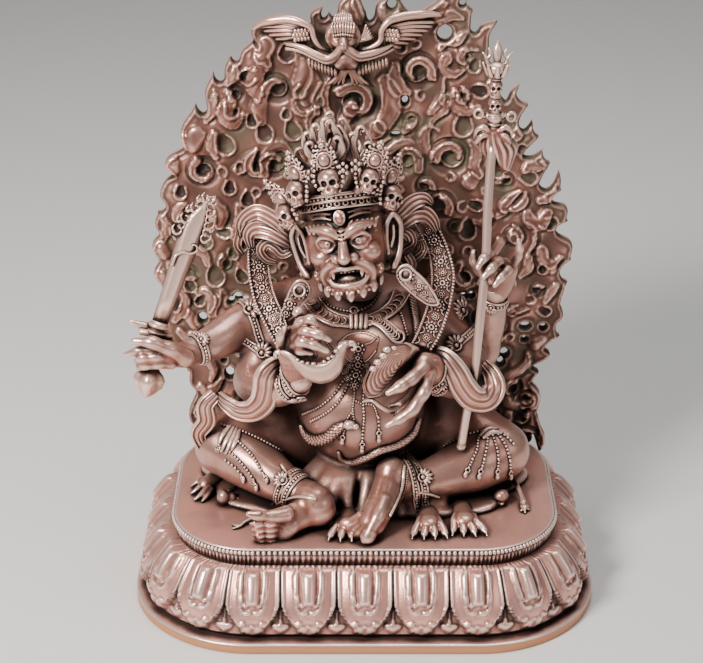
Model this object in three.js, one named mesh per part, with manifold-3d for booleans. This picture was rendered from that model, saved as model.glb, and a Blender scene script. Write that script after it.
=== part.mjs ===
// Seated Mahakala, cast in copper, on a lotus plinth before a flame aureole, with a sword and a staff.
// Millimetres, +Z up, the front at -Y. The origin is the middle of the plinth's underside.
import * as THREE from "three";
import { mergeVertices } from "three/addons/utils/BufferGeometryUtils.js";
import Module from "manifold-3d";

const wasm = await Module();
wasm.setup();

// The gap round the sword's grip and the staff, which pass through the hands.
const CLEARANCE = 0.3;

// The lotus plinth, a rounded rectangle that narrows upwards in one row of petals.
const PLINTH_WIDTH = 250;
const PLINTH_DEPTH = 180;
const PLINTH_CORNER = 66;
const PLINTH_HEIGHT = 50;
const RIM_HEIGHT = 8;
const GROOVE_DEPTH = 5;
const PETAL_COUNT = 24;
const PETAL_BULGE = 5;
const TOP_INSET = 22;
const STAMEN_HEIGHT = 11;
const FLUTE_DEPTH = 1.2;
const BEAD_RADIUS = 1.3;

// The aureole, a pierced plate that stands on the back of the plinth's top.
const AUREOLE_THICKNESS = 5;
const AUREOLE_BACK_INSET = 24;
const AUREOLE_WIDTH = 204;
const AUREOLE_HEIGHT = 254;
const FLAME_SPACING = 19;
const FLAME_HEIGHT = 12;
const SCROLL_RELIEF = 4;
const HOLE_RADIUS = 3.4;
const WING_LENGTH = 50;

// The figure, from the seat to the top of the hair.
const FIGURE_HEIGHT = 212;
const SEAT_THICKNESS = 4;

// The staff and the sword.
const STAFF_RADIUS = 2.3;
const PRONG_LENGTH = 17;
const SWORD_LENGTH = 82;
const SWORD_WIDTH = 9;
const SWORD_THICKNESS = 3.4;
const GRIP_RADIUS = 2.8;
const GUARD_RADIUS = 2.4;
const GUARD_REACH = 6;

const paleCopper = new THREE.MeshStandardMaterial({ color: 0xbd8272, roughness: 0.42, metalness: 0.85 });
const copper = new THREE.MeshStandardMaterial({ color: 0xa87264, roughness: 0.45, metalness: 0.85 });
const darkCopper = new THREE.MeshStandardMaterial({ color: 0x8a5f52, roughness: 0.5, metalness: 0.8 });

const { sin, cos, PI } = Math;
const v2 = (x, y) => new THREE.Vector2(x, y);
const v3 = (x, y, z) => new THREE.Vector3(x, y, z);
const mix = THREE.MathUtils.lerp;
const mixed = (from, to, t) => from.map((value, k) => mix(value, to[k], t));
const range = (count) => Array.from({ length: count }, (_, i) => i);

// Solids

function solid(geometry) {
  geometry.deleteAttribute("normal");
  geometry.deleteAttribute("uv");
  const merged = mergeVertices(geometry, 1e-4);
  const vertProperties = new Float32Array(merged.attributes.position.array);
  const triVerts = new Uint32Array(merged.index.array);
  return new wasm.Manifold(new wasm.Mesh({ numProp: 3, vertProperties, triVerts }));
}

const join = (solids) => solids.reduce((whole, next) => whole.add(next));

function node(name, manifold, material) {
  const mesh = manifold.getMesh();
  const geometry = new THREE.BufferGeometry();
  geometry.setAttribute("position", new THREE.Float32BufferAttribute(mesh.vertProperties, mesh.numProp));
  geometry.setIndex(Array.from(mesh.triVerts));
  geometry.computeVertexNormals();
  const made = new THREE.Mesh(geometry, material);
  made.name = name;
  return made;
}

// A closed form through rings of equal count, each counter-clockwise about the way the rings advance.
function loft(rings, startPoint, endPoint) {
  const count = rings[0].length;
  const middle = (ring) => ring.reduce((sum, p) => sum.add(p), v3(0, 0, 0)).divideScalar(count);
  const points = [...rings.flat(), startPoint ?? middle(rings[0]), endPoint ?? middle(rings.at(-1))];
  const [start, end] = [points.length - 2, points.length - 1];
  const last = (rings.length - 1) * count;
  const index = [];
  for (const i of range(count)) {
    const next = (i + 1) % count;
    for (const j of range(rings.length - 1)) {
      const [a, b] = [j * count + i, j * count + next];
      index.push(a, b, b + count, a, b + count, a + count);
    }
    index.push(next, i, start, last + i, last + next, end);
  }
  const geometry = new THREE.BufferGeometry().setFromPoints(points);
  return solid(geometry.setIndex(index));
}

// The value at a share of the way along a list of [across, through] pairs or single numbers.
function valueAt(list, t, k) {
  const single = (entry) => (Array.isArray(entry) ? entry[k] : entry);
  if (list.length === 1) return single(list[0]);
  const at = t * (list.length - 1);
  const low = Math.min(Math.floor(at), list.length - 2);
  return mix(single(list[low]), single(list[low + 1]), at - low);
}

// A limb, cord or ribbon: a smooth run through points, with its half-widths spread evenly along it.
function run(points, halves, options = {}) {
  const { sides = 6, steps = points.length, across = v3(0, 0, 1), cap = 0.5, grow = 0 } = options;
  const curve = new THREE.CatmullRomCurve3(points.map((p) => v3(...p)), false, "centripetal");
  const half = (t, k) => valueAt(halves, t, k) + grow;
  const rings = range(steps + 1).map((j) => {
    const t = j / steps;
    const tangent = curve.getTangent(t);
    const side = across.clone().addScaledVector(tangent, -across.dot(tangent)).normalize();
    const through = tangent.clone().cross(side);
    return range(sides).map((i) => {
      const a = (2 * PI * i) / sides;
      const p = curve.getPoint(t).addScaledVector(side, half(t, 0) * cos(a));
      return p.addScaledVector(through, half(t, 1) * sin(a));
    });
  });
  const start = curve.getPoint(0).addScaledVector(curve.getTangent(0), -cap * half(0, 1));
  const end = curve.getPoint(1).addScaledVector(curve.getTangent(1), cap * half(1, 1));
  return loft(rings, start, end);
}

// An ellipsoid, turned about X, Y and Z in degrees.
function blob(centre, radii, turn = [0, 0, 0], segments = [6, 4]) {
  const geometry = new THREE.SphereGeometry(1, ...segments);
  const [x, y, z] = turn.map(THREE.MathUtils.degToRad);
  geometry.scale(...radii).rotateX(x).rotateY(y).rotateZ(z);
  return solid(geometry.translate(...centre));
}

// A flat shape drawn in X and Z, from a front face at y back through a thickness.
function plate(shape, y, thickness) {
  const options = { depth: thickness, bevelEnabled: false, curveSegments: 8 };
  const geometry = new THREE.ExtrudeGeometry(shape, options);
  return solid(geometry.rotateX(PI / 2).translate(0, y + thickness, 0));
}

// The lotus plinth

const corner = Math.min(PLINTH_CORNER, PLINTH_DEPTH / 2 - 1, PLINTH_WIDTH / 2 - 1);
const plinthPlan = new THREE.Path();
plinthPlan.moveTo(0, -PLINTH_DEPTH / 2);
for (const [quarter, [sideX, sideY]] of [[1, -1], [1, 1], [-1, 1], [-1, -1]].entries()) {
  const from = (quarter - 1) * (PI / 2);
  const x = sideX * (PLINTH_WIDTH / 2 - corner);
  const y = sideY * (PLINTH_DEPTH / 2 - corner);
  plinthPlan.absarc(x, y, corner, from, from + PI / 2);
}
plinthPlan.closePath();

// A point of the plan at a share of the way round from the front middle, moved in by an inset.
function onPlan(share, inset, z) {
  const point = plinthPlan.getPoint(share);
  const tangent = plinthPlan.getTangent(share);
  return v3(point.x - inset * tangent.y, point.y + inset * tangent.x, z);
}

function lotusPlinth() {
  const perPetal = 4;
  const columns = perPetal * PETAL_COUNT;
  const petalFoot = RIM_HEIGHT + 2;
  const petalTop = PLINTH_HEIGHT - STAMEN_HEIGHT;
  const plain = (inset, z, flute = 0) => ({ z, inset: (i) => inset + (i % 2) * flute });
  const petals = [0, 0.4, 1].map((t) => {
    const spread = mix(0.7, 1.1, Math.min(1, 2 * t));
    const swell = PETAL_BULGE * mix(1, 0.5, t);
    return {
      z: mix(petalFoot, petalTop, t),
      inset: (i) => {
        const away = Math.abs(((i + perPetal / 2) % perPetal) - perPetal / 2) / (perPetal / 2);
        const proud = Math.sqrt(Math.max(0, 1 - (away / spread) ** 2));
        return mix(GROOVE_DEPTH, TOP_INSET, t ** 1.8) - swell * proud;
      },
    };
  });
  const rows = [
    plain(0, 0),
    plain(0, RIM_HEIGHT),
    plain(GROOVE_DEPTH, RIM_HEIGHT + 1),
    ...petals,
    plain(TOP_INSET, petalTop + 1, FLUTE_DEPTH),
    plain(TOP_INSET - BEAD_RADIUS, PLINTH_HEIGHT - BEAD_RADIUS, FLUTE_DEPTH),
    plain(TOP_INSET, PLINTH_HEIGHT),
  ];
  return loft(rows.map((row) => range(columns).map((i) => onPlan(i / columns, row.inset(i), row.z))));
}

// The flame aureole

const aureoleFront = PLINTH_DEPTH / 2 - AUREOLE_BACK_INSET - AUREOLE_THICKNESS;
const onAureole = ([x, z]) => v2(x * AUREOLE_WIDTH, PLINTH_HEIGHT + z * AUREOLE_HEIGHT);

// The outline between the flames, up the left side and down the right, in shares of the width and height.
const AUREOLE_OUTLINE = [
  [-0.38, 0], [-0.47, 0.03], [-0.45, 0.12], [-0.5, 0.22], [-0.53, 0.36], [-0.51, 0.53], [-0.45, 0.7],
  [-0.34, 0.84], [-0.18, 0.95], [0.04, 0.99], [0.22, 0.97], [0.35, 0.87], [0.44, 0.71], [0.5, 0.56],
  [0.52, 0.4], [0.49, 0.24], [0.455, 0.12], [0.47, 0.03], [0.38, 0],
];

// Stretches of the outline, in shares of the way along, out and up: a leaning flame, a bulge, the bare foot.
const HOOK = [[0, 0], [0.06, 0.45], [0.3, 0.75, 0.15], [0.62, 0.95, 0.55], [0.52, 0.5, 0.25], [0.65, 0.14]];
const BULGE = [[0, 0], [0.15, 0.3], [0.5, 0.42], [0.85, 0.3]];
const ROOT = [[0, 0], [0.5, 0]];

function flameOutline() {
  const curve = new THREE.SplineCurve(AUREOLE_OUTLINE.map(onAureole));
  const count = Math.round(curve.getLength() / FLAME_SPACING);
  return range(count).flatMap((i) => {
    const start = curve.getPointAt(i / count);
    const along = curve.getPointAt((i + 1) / count).sub(start);
    const out = v2(-along.y, along.x).normalize();
    const rising = i < count / 2;
    const low = start.y < PLINTH_HEIGHT + AUREOLE_HEIGHT / 4;
    const profile = i === 0 || i === count - 1 ? ROOT : low || i % 4 === 2 ? BULGE : HOOK;
    const flame = profile.map(([s, n, lift = 0]) => {
      const p = start.clone().addScaledVector(along, rising ? s : 1 - s);
      return p.addScaledVector(out, n * FLAME_HEIGHT).add(v2(0, lift * FLAME_HEIGHT));
    });
    return rising ? flame : flame.reverse();
  });
}

// A scroll that winds inwards and thins towards its eye.
function scrollShape({ x, y }, radius, turn, hand) {
  const steps = 5;
  const spiral = (t, inward) => {
    const a = turn + hand * t * 1.6 * PI;
    const r = radius * (1 - 0.7 * t) - inward * radius * mix(0.3, 0.1, t);
    return v2(x + r * cos(a), y + r * sin(a));
  };
  const outer = range(steps + 1).map((i) => spiral(i / steps, 0));
  const inner = range(steps + 1).map((i) => spiral(i / steps, 1));
  return new THREE.Shape([...outer, ...inner.reverse()]);
}

// Scrolls and holes stand at shares of the width and height. A scroll adds its radius, first angle and hand.
const SCROLLS = [
  [0, 0.76, 15, 2.6, -1], [0.17, 0.85, 12, 2.6, -1], [-0.2, 0.79, 10, 0.6, 1], [0.24, 0.6, 13, 2.4, -1],
  [-0.38, 0.58, 11, 0.8, 1], [0.35, 0.42, 10, 2.4, -1], [-0.42, 0.4, 10, 0.8, 1], [0.44, 0.3, 8, 2.4, -1],
  [-0.42, 0.09, 9, 0.4, 1], [0.42, 0.14, 9, 2.6, -1],
];
const HOLES = [
  [-0.3, 0.33], [-0.4, 0.29], [-0.31, 0.12], [0.33, 0.28], [0.38, 0.27], [0.43, 0.235],
  [0.33, 0.16], [0.22, 0.95], [0.37, 0.02],
];

// The bird over the figure, with its wings spread along the aureole's top.
function bird() {
  const { x, y: z } = onAureole([-0.04, 0.93]);
  const y = aureoleFront - 2;
  const wings = [-1, 1].map((side) => {
    const reach = (share, drop, up) => [x + side * share * WING_LENGTH, y + drop, z + up];
    const halves = [[6, 4], [8, 3.5], [3, 3]];
    return run([reach(0.12, 0, -8), reach(0.45, -3, 5), reach(1, 0, 5)], halves, { steps: 4 });
  });
  const trunk = [[x, y - 1, z - 8], [x, y - 5, z + 4], [x, y - 7, z + 12]];
  return [...wings, run(trunk, [7, 8, 6], { across: v3(1, 0, 0) })];
}

function flameAureole() {
  const shape = new THREE.Shape(flameOutline());
  for (const centre of HOLES.map(onAureole)) {
    const rim = range(8).map((i) => v2(HOLE_RADIUS, 0).rotateAround(v2(0, 0), (i * PI) / 4).add(centre));
    shape.holes.push(new THREE.Path(rim));
  }
  const rooted = 0.5;
  const scrolls = SCROLLS.map(([x, z, ...form]) => {
    const drawn = scrollShape(onAureole([x, z]), ...form);
    return plate(drawn, aureoleFront - SCROLL_RELIEF, SCROLL_RELIEF + rooted);
  });
  return join([plate(shape, aureoleFront, AUREOLE_THICKNESS), ...scrolls, ...bird()]);
}

// The figure. Its places are given for DRAWN_HEIGHT and grow from the plinth's top with FIGURE_HEIGHT.

const DRAWN_HEIGHT = 212;
const DRAWN_FLOOR = 50;
const size = FIGURE_HEIGHT / DRAWN_HEIGHT;
const place = ([x, y, z]) => [x * size, y * size, PLINTH_HEIGHT + (z - DRAWN_FLOOR) * size];
const grown = (radii) => radii.map((r) => (Array.isArray(r) ? grown(r) : r * size));
const limb = (points, radii, options) => run(points.map(place), grown(radii), options);
const lump = (centre, radii, turn, segments) => blob(place(centre), grown(radii), turn, segments);

// A band worn round a limb: a ring about an axis.
function band(centre, axis, radius, thick) {
  const geometry = new THREE.TorusGeometry(radius * size, thick * size, 3, 8);
  const turn = new THREE.Quaternion().setFromUnitVectors(v3(0, 0, 1), v3(...axis).normalize());
  return solid(geometry.applyQuaternion(turn).translate(...place(centre)));
}

function torso() {
  const snake = [[-34, -14, 98], [-22, -31, 88], [-4, -37, 84], [14, -33, 87], [30, -16, 96]];
  const collar = [[-36, -3, 160], [-22, -17, 150], [-7, -22, 146], [9, -17, 150], [24, -3, 160]];
  return [
    lump([0, 20, 72], [52, 32, 22], [0, 0, 0], [8, 4]),
    lump([-2, -1, 101], [36, 35, 33], [0, 0, 0], [10, 6]),
    lump([-4, 7, 139], [42, 27, 27], [0, 0, 0], [8, 4]),
    lump([-5, 15, 153], [57, 21, 18], [0, 0, 0], [8, 4]),
    limb([[-6, 8, 154], [-9, 0, 180]], [28, 18], { steps: 1 }),
    limb(collar, [[4, 3]], { sides: 4 }),
    limb(snake, [2.6], { sides: 4 }),
  ];
}

function head() {
  const tilt = [-14, -9, 0];
  const parts = [
    lump([-11, -7, 197], [22, 25, 27], tilt, [8, 6]),
    lump([-9, -13, 181], [20, 19, 13], tilt, [8, 4]),
    lump([-10, -34, 193], [4.5, 5, 8], tilt, [5, 4]),
    lump([-8, -30, 181], [13, 6, 3], tilt),
  ];
  for (const side of [-1, 1]) {
    const at = (out, y, z) => [-10 + side * out, y, z - 3.5 * side];
    parts.push(lump(at(9, -27, 199), [6, 5, 4.5], tilt));
    const ear = [at(20, -2, 205), at(23, 0, 194), at(24, 0, 180)];
    parts.push(limb(ear, [[5, 4]], { sides: 4, across: v3(0, 1, 0) }));
    parts.push(limb([at(24, 0, 182), at(37, -8, 170), at(49, -10, 160)], [5, 7, 4], { sides: 5 }));
  }
  return parts;
}

// The hair stands up in flame-like locks behind the crown.
function hair() {
  const rows = [[216, 26, 23], [228, 29, 26], [240, 24, 22], [251, 14, 12], [260, 4, 4]];
  const locks = 6;
  const rings = rows.map(([z, across, through], j) =>
    range(2 * locks).map((i) => {
      const a = (PI * i) / locks;
      const ripple = i % 2 ? 1 : 0.86;
      const [x, y] = [-13.5 - (z - 216) * 0.12, 3];
      const lift = i % 2 ? 2 * j : 0;
      return v3(...place([x + across * ripple * cos(a), y + through * ripple * sin(a), z + lift]));
    }),
  );
  const curls = [-1, 1].map((side) => {
    const at = (out, y, z) => [-11 + side * out, y, z];
    const curl = [at(16, 10, 214), at(38, 13, 223), at(46, 13, 212), at(39, 13, 206)];
    return limb(curl, [[4, 7], [4, 6], [3, 4], [2, 2]], { across: v3(0, 1, 0), steps: 5, sides: 5 });
  });
  return [loft(rings), ...curls];
}

// Five skulls stand round the crown's band, each with a jewelled leaf above it.
function crown() {
  const parts = [band([-12, -3, 217], [0.16, -0.18, 1], 24.5, 3)];
  for (const i of [-2, -1, 0, 1, 2]) {
    const a = i * 0.6;
    const at = (radius, z) => [-15 + radius * sin(a), -3 - radius * cos(a), z - 2.5 * i * i - 2.5 * i];
    parts.push(lump(at(22.5, 229), [6, 8, 7.5]));
    const leaf = [at(23, 233), at(25, 245), at(27, 257)];
    parts.push(limb(leaf, [[5, 4], [7.5, 4], [1.5, 1.5]], { sides: 4, across: v3(cos(a), sin(a), 0) }));
  }
  return parts;
}

// A palm, and fingers that each run through three joints.
function hand(palm, radii, turn, fingers) {
  const made = fingers.map((joints) => limb(joints, [3.5, 3.2, 2], { sides: 4, steps: 2 }));
  return [lump(palm, radii, turn), ...made];
}

function swordArm() {
  return [
    limb([[-40, 18, 148], [-63, 9, 142], [-75, -1, 139], [-90, -11, 137]], [15, 11.5, 10, 7]),
    ...hand([-99, -15, 139], [11, 8, 6.5], [0, -4, 25], [
      [[-103, -9, 143], [-114, -13, 148], [-127, -18, 151]],
      [[-104, -21, 141], [-114, -26, 144], [-122, -25, 141]],
      [[-106, -23, 137], [-117, -27, 137], [-127, -25, 135]],
      [[-97, -20, 145], [-103, -26, 148], [-112, -26, 145]],
    ]),
  ];
}

function knifeArm() {
  return [
    limb([[-42, 10, 142], [-58, -1, 124], [-50, -15, 119], [-33, -30, 134]], [14, 12, 10, 8], { steps: 5 }),
    ...hand([-30, -33, 141], [8, 8, 9.5], [0, 20, 0], [
      [[-33, -41, 150], [-26, -48, 150], [-18, -47, 147]],
      [[-34, -41, 144], [-26, -49, 143], [-17, -47, 140]],
      [[-32, -40, 138], [-25, -47, 137], [-18, -46, 134]],
      [[-38, -35, 146], [-43, -39, 154], [-41, -42, 161]],
    ]),
  ];
}

function staffArm() {
  return [
    limb([[36, 20, 148], [58, 21, 129], [64, 18, 136], [70, 9, 167]], [14, 11.5, 10, 6]),
    ...hand([72, 7, 172], [9, 5.5, 10], [0, 15, 0], [
      [[71, 2, 181], [66, -7, 190], [60, -12, 187]],
      [[73, 1, 178], [69, -8, 185], [62, -13, 181]],
      [[76, 4, 178], [80, 1, 187], [80, -3, 196]],
      [[66, 4, 172], [59, 2, 180], [57, -3, 190]],
    ]),
  ];
}

function bowlArm() {
  return [
    limb([[38, 10, 142], [54, 2, 128], [52, -9, 120], [32, -21, 129]], [14, 12.5, 11, 7]),
    ...hand([27, -25, 131], [9, 7, 7], [0, 20, 20], [
      [[21, -31, 131], [14, -40, 129], [5, -45, 126]],
      [[27, -27, 129], [25, -37, 115], [14, -40, 106]],
      [[21, -27, 138], [16, -31, 147], [9, -36, 152]],
    ]),
  ];
}

// A foot from heel to ball, with five toes in a row between two places, the big toe first.
function foot(heel, ball, width, bigToe, smallToe) {
  const toes = range(5).map((i) => {
    const radius = mix(3.8, 2.4, i / 4);
    return lump(mixed(bigToe, smallToe, i / 4), [radius, 1.6 * radius, radius], [20, 0, 0], [4, 3]);
  });
  return [limb([heel, ball], [[8, 8], width], { sides: 7 }), ...toes];
}

function legs() {
  return [
    limb([[-20, 18, 74], [-50, 8, 80], [-70, -4, 79]], [22, 20, 16]),
    limb([[-74, -4, 77], [-55, -20, 73], [-34, -36, 67]], [15, 14, 9]),
    ...foot([-27, -43, 62], [-49, -56, 61], [9, 7], [-54, -58, 67], [-52, -63, 54]),
    limb([[20, 18, 74], [50, 12, 78], [70, 2, 73]], [22, 20, 16]),
    limb([[74, -3, 71], [48, -16, 68], [24, -25, 66]], [15, 14, 9.5]),
    ...foot([18, -28, 68], [5, -50, 59], [8, 8], [6, -61, 54.5], [-7, -57, 53.5]),
  ];
}

// The curved knife is a crescent with raised horns, and a handle above its middle.
function knife() {
  const steps = 6;
  const edge = (sag, horn) =>
    range(steps + 1).map((i) => {
      const t = i / steps;
      const [x, , z] = place([mix(-48, -6, t), 0, 147 + horn * (2 * t - 1) ** 2 + 6 * t - sag]);
      return v2(x, z);
    });
  const crescent = new THREE.Shape([...edge(13, 15), ...edge(0, 5).reverse()]);
  return [
    plate(crescent, place([0, -45, 0])[1], 4 * size),
    limb([[-28, -42, 142], [-33, -41, 158], [-38, -40, 168]], [4, 4, 7]),
  ];
}

// A ribbon lies flat to the front or to the side.
const ribbon = (points, halves) => limb(points, halves, { across: v3(0, 1, 0), sides: 4 });

// The skull bowl, the scarf ends over the forearms, and the brocade stole behind the shoulders.
function cupAndCloths() {
  const scarfs = [
    [[-39, -18, 133], [-54, -12, 127], [-52, -20, 116], [-56, -26, 106], [-75, -24, 110]],
    [[35, -22, 140], [46, -25, 124], [58, -26, 109], [68, -22, 113], [64, -16, 126]],
  ];
  const stoles = [
    [[-48, 22, 204], [-57, 20, 187], [-57, 14, 168], [-52, 4, 152], [-43, -8, 135]],
    [[28, 22, 206], [39, 20, 189], [41, 14, 168], [38, 4, 152], [31, -8, 137]],
  ];
  return [
    lump([9, -40, 139], [10, 14, 17], [-20, 36, 0], [8, 5]),
    ...scarfs.map((points) => ribbon(points, [[3, 7], [3, 8], [3, 8], [3, 6]])),
    ...stoles.map((points) => ribbon(points, [[2.5, 5], [2.5, 8], [2.5, 8], [2.5, 6]])),
  ];
}

// The skin that the figure sits on, with paws at the front and a head at each side.
function skinSeat() {
  const top = PLINTH_HEIGHT + SEAT_THICKNESS * size;
  const rows = [[PLINTH_HEIGHT, 0], [mix(PLINTH_HEIGHT, top, 0.5), 0], [top, 0.12]];
  const squared = (value) => Math.sign(value) * Math.abs(value) ** 0.7;
  const rings = rows.map(([z, shrink]) =>
    range(15).map((i) => {
      const a = (2 * PI * i) / 15;
      const reach = 1 + 0.04 * sin(5 * a) - shrink;
      return v3(86 * reach * squared(cos(a)) * size, (4 + 40 * reach * squared(sin(a))) * size, z);
    }),
  );
  const pawRoots = [[34, -26, 33, -58], [44, -24, 56, -52], [-5, -28, -8, -56], [-76, 6, -92, -10]];
  const paws = pawRoots.map(([x0, y0, x1, y1]) =>
    limb([[x0, y0, 54.5], [x1, y1, 54]], [[6, 4.4], [9, 3.9]], { across: v3(1, 0, 0), cap: 0.9 }),
  );
  const heads = [lump([-76, -22, 57], [7, 7, 6.5]), lump([76, -19, 56], [6, 6, 5.5])];
  return [loft(rings), ...paws, ...heads];
}

// The staff stands on the left thigh and leans back through the upper left hand. The same forms, grown by the
// clearance, are cut out of the figure.

const STAFF_ROUTE = [
  [51.5, -23, 87], [53.5, -23, 104], [57, -22, 128], [60, -17, 160],
  [62.5, -9, 190], [63, -3, 220], [66, 8, 270],
];

function tridentStaff(grow) {
  const shaft = run(STAFF_ROUTE.map(place), [STAFF_RADIUS], { steps: 7, grow, cap: 0 });
  const [x, y, z] = place(STAFF_ROUTE.at(-1));
  const up = (across, height, back = 0) => [x + across, y + back, z + height];
  const prongs = [-1, 0, 1].map((side) => {
    const tip = PRONG_LENGTH * (side ? 1 : 1.25);
    const points = [up(0, 4), up(side * 6, 9 + tip * 0.4), up(side * 5, 9 + tip)];
    return run(points, [1.6, 1.6, 1.6, 0.6], { sides: 4, across: v3(0, 1, 0), grow });
  });
  const knobs = [[3, 4.4, 4.5], [-6, 5, 5.5], [-16, 4.8, 5.5]].map(([height, wide, tall]) =>
    blob(up(0, height), [wide + grow, wide + grow, tall + grow]),
  );
  const bow = run([up(-10, -23), up(0, -25), up(10, -23)], [2, 3.4, 2], { sides: 5, grow });
  const clothHalves = [[5, 7], [5, 9], [2, 3]];
  const cloth = run([up(0, -27), up(3, -36), up(6, -48, 2)], clothHalves, { across: v3(0, 1, 0), grow });
  return join([shaft, ...prongs, ...knobs, bow, cloth]);
}

// The sword stands in the upper right hand and leans back towards the figure.

const POMMEL = [-112.5, -23, 131];
const GUARD = [-109, -19, 151];
const BLADE_AIM = [-82, -1, 223];

function sword(grow) {
  const [pommel, guard] = [place(POMMEL), place(GUARD)];
  const aim = v3(...place(BLADE_AIM)).sub(v3(...guard)).normalize();
  const at = (share, out = 0) => {
    const p = v3(...guard).addScaledVector(aim, share * SWORD_LENGTH);
    return [p.x + out, p.y, p.z];
  };
  const wide = [SWORD_WIDTH / 2, SWORD_THICKNESS / 2];
  const blade = run([at(0), at(0.5), at(0.85), at(1)], [wide, wide, wide, [0.6, 0.6]], {
    sides: 4, across: v3(1, 0.2, 0), grow,
  });
  const chain = [-1, 1].map((side) =>
    run([at(0.7, 4 * side), at(0.85, 7 * side), at(1.02, 2 * side)], [1.8], { sides: 4, steps: 4, grow }),
  );
  const crossEnd = (side) => [guard[0] + side * GUARD_REACH, guard[1], guard[2] - side];
  const cross = run([crossEnd(-1), crossEnd(1)], [GUARD_RADIUS], { steps: 1, grow });
  const grip = run([pommel, guard], [GRIP_RADIUS], { steps: 1, grow, cap: 0 });
  const knob = blob(pommel, [5 + grow, 5 + grow, 6.5 + grow]);
  return join([blade, ...chain, cross, grip, knob]);
}

function figure() {
  const arms = [...swordArm(), ...knifeArm(), ...staffArm(), ...bowlArm()];
  const dress = [...crown(), ...knife(), ...cupAndCloths(), ...skinSeat()];
  const cast = join([...torso(), ...head(), ...hair(), ...arms, ...legs(), ...dress]);
  return cast.subtract(tridentStaff(CLEARANCE)).subtract(sword(CLEARANCE));
}

const group = new THREE.Group();
group.add(node("lotus_plinth", lotusPlinth(), paleCopper));
group.add(node("mahakala_figure", figure(), copper));
group.add(node("flame_aureole", flameAureole(), darkCopper));
group.add(node("sword", sword(0), paleCopper));
group.add(node("trident_staff", tridentStaff(0), paleCopper));

export default group;
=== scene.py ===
"""The seated Mahakala in antiqued copper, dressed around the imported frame.

Lengths are millimetres in the part's frame: +Z up, the front at -Y, the origin in the middle of the
plinth's underside. The objects are written in metres.
"""
import math
import bpy
import numpy as np
from mathutils import Matrix, Vector
from mathutils.geometry import delaunay_2d_cdt


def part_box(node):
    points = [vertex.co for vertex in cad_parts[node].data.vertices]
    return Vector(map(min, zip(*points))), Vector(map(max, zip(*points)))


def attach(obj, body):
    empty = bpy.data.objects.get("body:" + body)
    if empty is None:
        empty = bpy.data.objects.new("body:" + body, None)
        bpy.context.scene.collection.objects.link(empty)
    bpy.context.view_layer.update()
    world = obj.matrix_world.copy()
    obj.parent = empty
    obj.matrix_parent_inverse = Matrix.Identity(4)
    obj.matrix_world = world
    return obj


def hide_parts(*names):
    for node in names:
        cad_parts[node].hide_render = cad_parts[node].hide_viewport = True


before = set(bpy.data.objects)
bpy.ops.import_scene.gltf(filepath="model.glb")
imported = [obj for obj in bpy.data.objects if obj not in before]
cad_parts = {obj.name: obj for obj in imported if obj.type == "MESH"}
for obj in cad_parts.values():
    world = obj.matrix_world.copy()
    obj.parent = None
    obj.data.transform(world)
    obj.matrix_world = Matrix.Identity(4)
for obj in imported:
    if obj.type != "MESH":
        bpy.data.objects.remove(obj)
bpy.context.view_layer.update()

MM = 0.001
UP = np.array([0.0, 0.0, 1.0])
RIGHT = np.array([1.0, 0.0, 0.0])
BACK = np.array([0.0, 1.0, 0.0])
rng = np.random.default_rng(7)

# The photograph's camera: its frame in pixels, its focal length in pixels, and where it looks from.
PHOTO_SIZE = (703, 663)
FOCAL = 1880
PITCH = math.radians(25)
DISTANCE = 1000
TARGET = np.array([-7.0, 0.0, 143.7])
LOOK = np.array([0, math.cos(PITCH), -math.sin(PITCH)])
TOP_WAY = np.array([0, math.sin(PITCH), math.cos(PITCH)])
EYE = TARGET - DISTANCE * LOOK

# The frame's boxes, low and high corners in millimetres.
plinth_box, aureole_box = [
    [np.array(corner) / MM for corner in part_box(name)] for name in ("lotus_plinth", "flame_aureole")
]
FLOOR = plinth_box[1][2]


def seen(u, v, y):
    """The place at depth y that the photograph shows at pixel (u, v)."""
    ray = LOOK + RIGHT * (u - PHOTO_SIZE[0] / 2) / FOCAL - TOP_WAY * (v - PHOTO_SIZE[1] / 2) / FOCAL
    return EYE + ray * (y - EYE[1]) / ray[1]


def seen_all(rows):
    """The places of pixels that each have a depth."""
    return np.array([seen(*row) for row in rows])


def placed(rows):
    """Places with a radius, from pixels that each have a depth and a radius."""
    return [(*seen(u, v, y), radius) for u, v, y, radius in rows]


# Curves and profiles

def smooth(t):
    t = np.clip(t, 0, 1)
    return t * t * (3 - 2 * t)


def dome(distance, half):
    """A rounded ridge, 1 on its line and 0 from its half-width out."""
    return np.sqrt(np.clip(1 - (distance / half) ** 2, 0, 1))


def curve(points, count, closed=False):
    """Evenly spread points of a smooth curve; further columns, such as radii, go along."""
    points = np.asarray(points, float)
    if closed:
        points = np.vstack([points[-1:], points, points[:2]])
    gaps = np.maximum(np.linalg.norm(np.diff(points[:, :3], axis=0), axis=1), 1e-6)
    knots = np.concatenate([[0], np.cumsum(gaps)])
    slopes = np.gradient(points, knots, axis=0)
    low, high = (knots[1], knots[-2]) if closed else (0, knots[-1])
    at = np.linspace(low, high, count + closed)[: count]
    i = np.clip(np.searchsorted(knots, at, side="right") - 1, 0, len(knots) - 2)
    width = gaps[i][:, None]
    t = ((at - knots[i]) / gaps[i])[:, None]
    first = (2 * t**3 - 3 * t**2 + 1) * points[i] + (t**3 - 2 * t**2 + t) * width * slopes[i]
    return first + (3 * t**2 - 2 * t**3) * points[i + 1] + (t**3 - t**2) * width * slopes[i + 1]


def curve_2d(points, count):
    """A smooth line through points of the plane."""
    points = np.asarray(points, float)
    return curve(np.column_stack([points, np.zeros(len(points))]), count)[:, :2]


def circle(count):
    """Angles evenly spread round a circle."""
    return np.linspace(0, 2 * np.pi, count, endpoint=False)


def unit(vector):
    vector = np.asarray(vector, float)
    return vector / np.maximum(np.linalg.norm(vector, axis=-1, keepdims=True), 1e-9)


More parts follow.
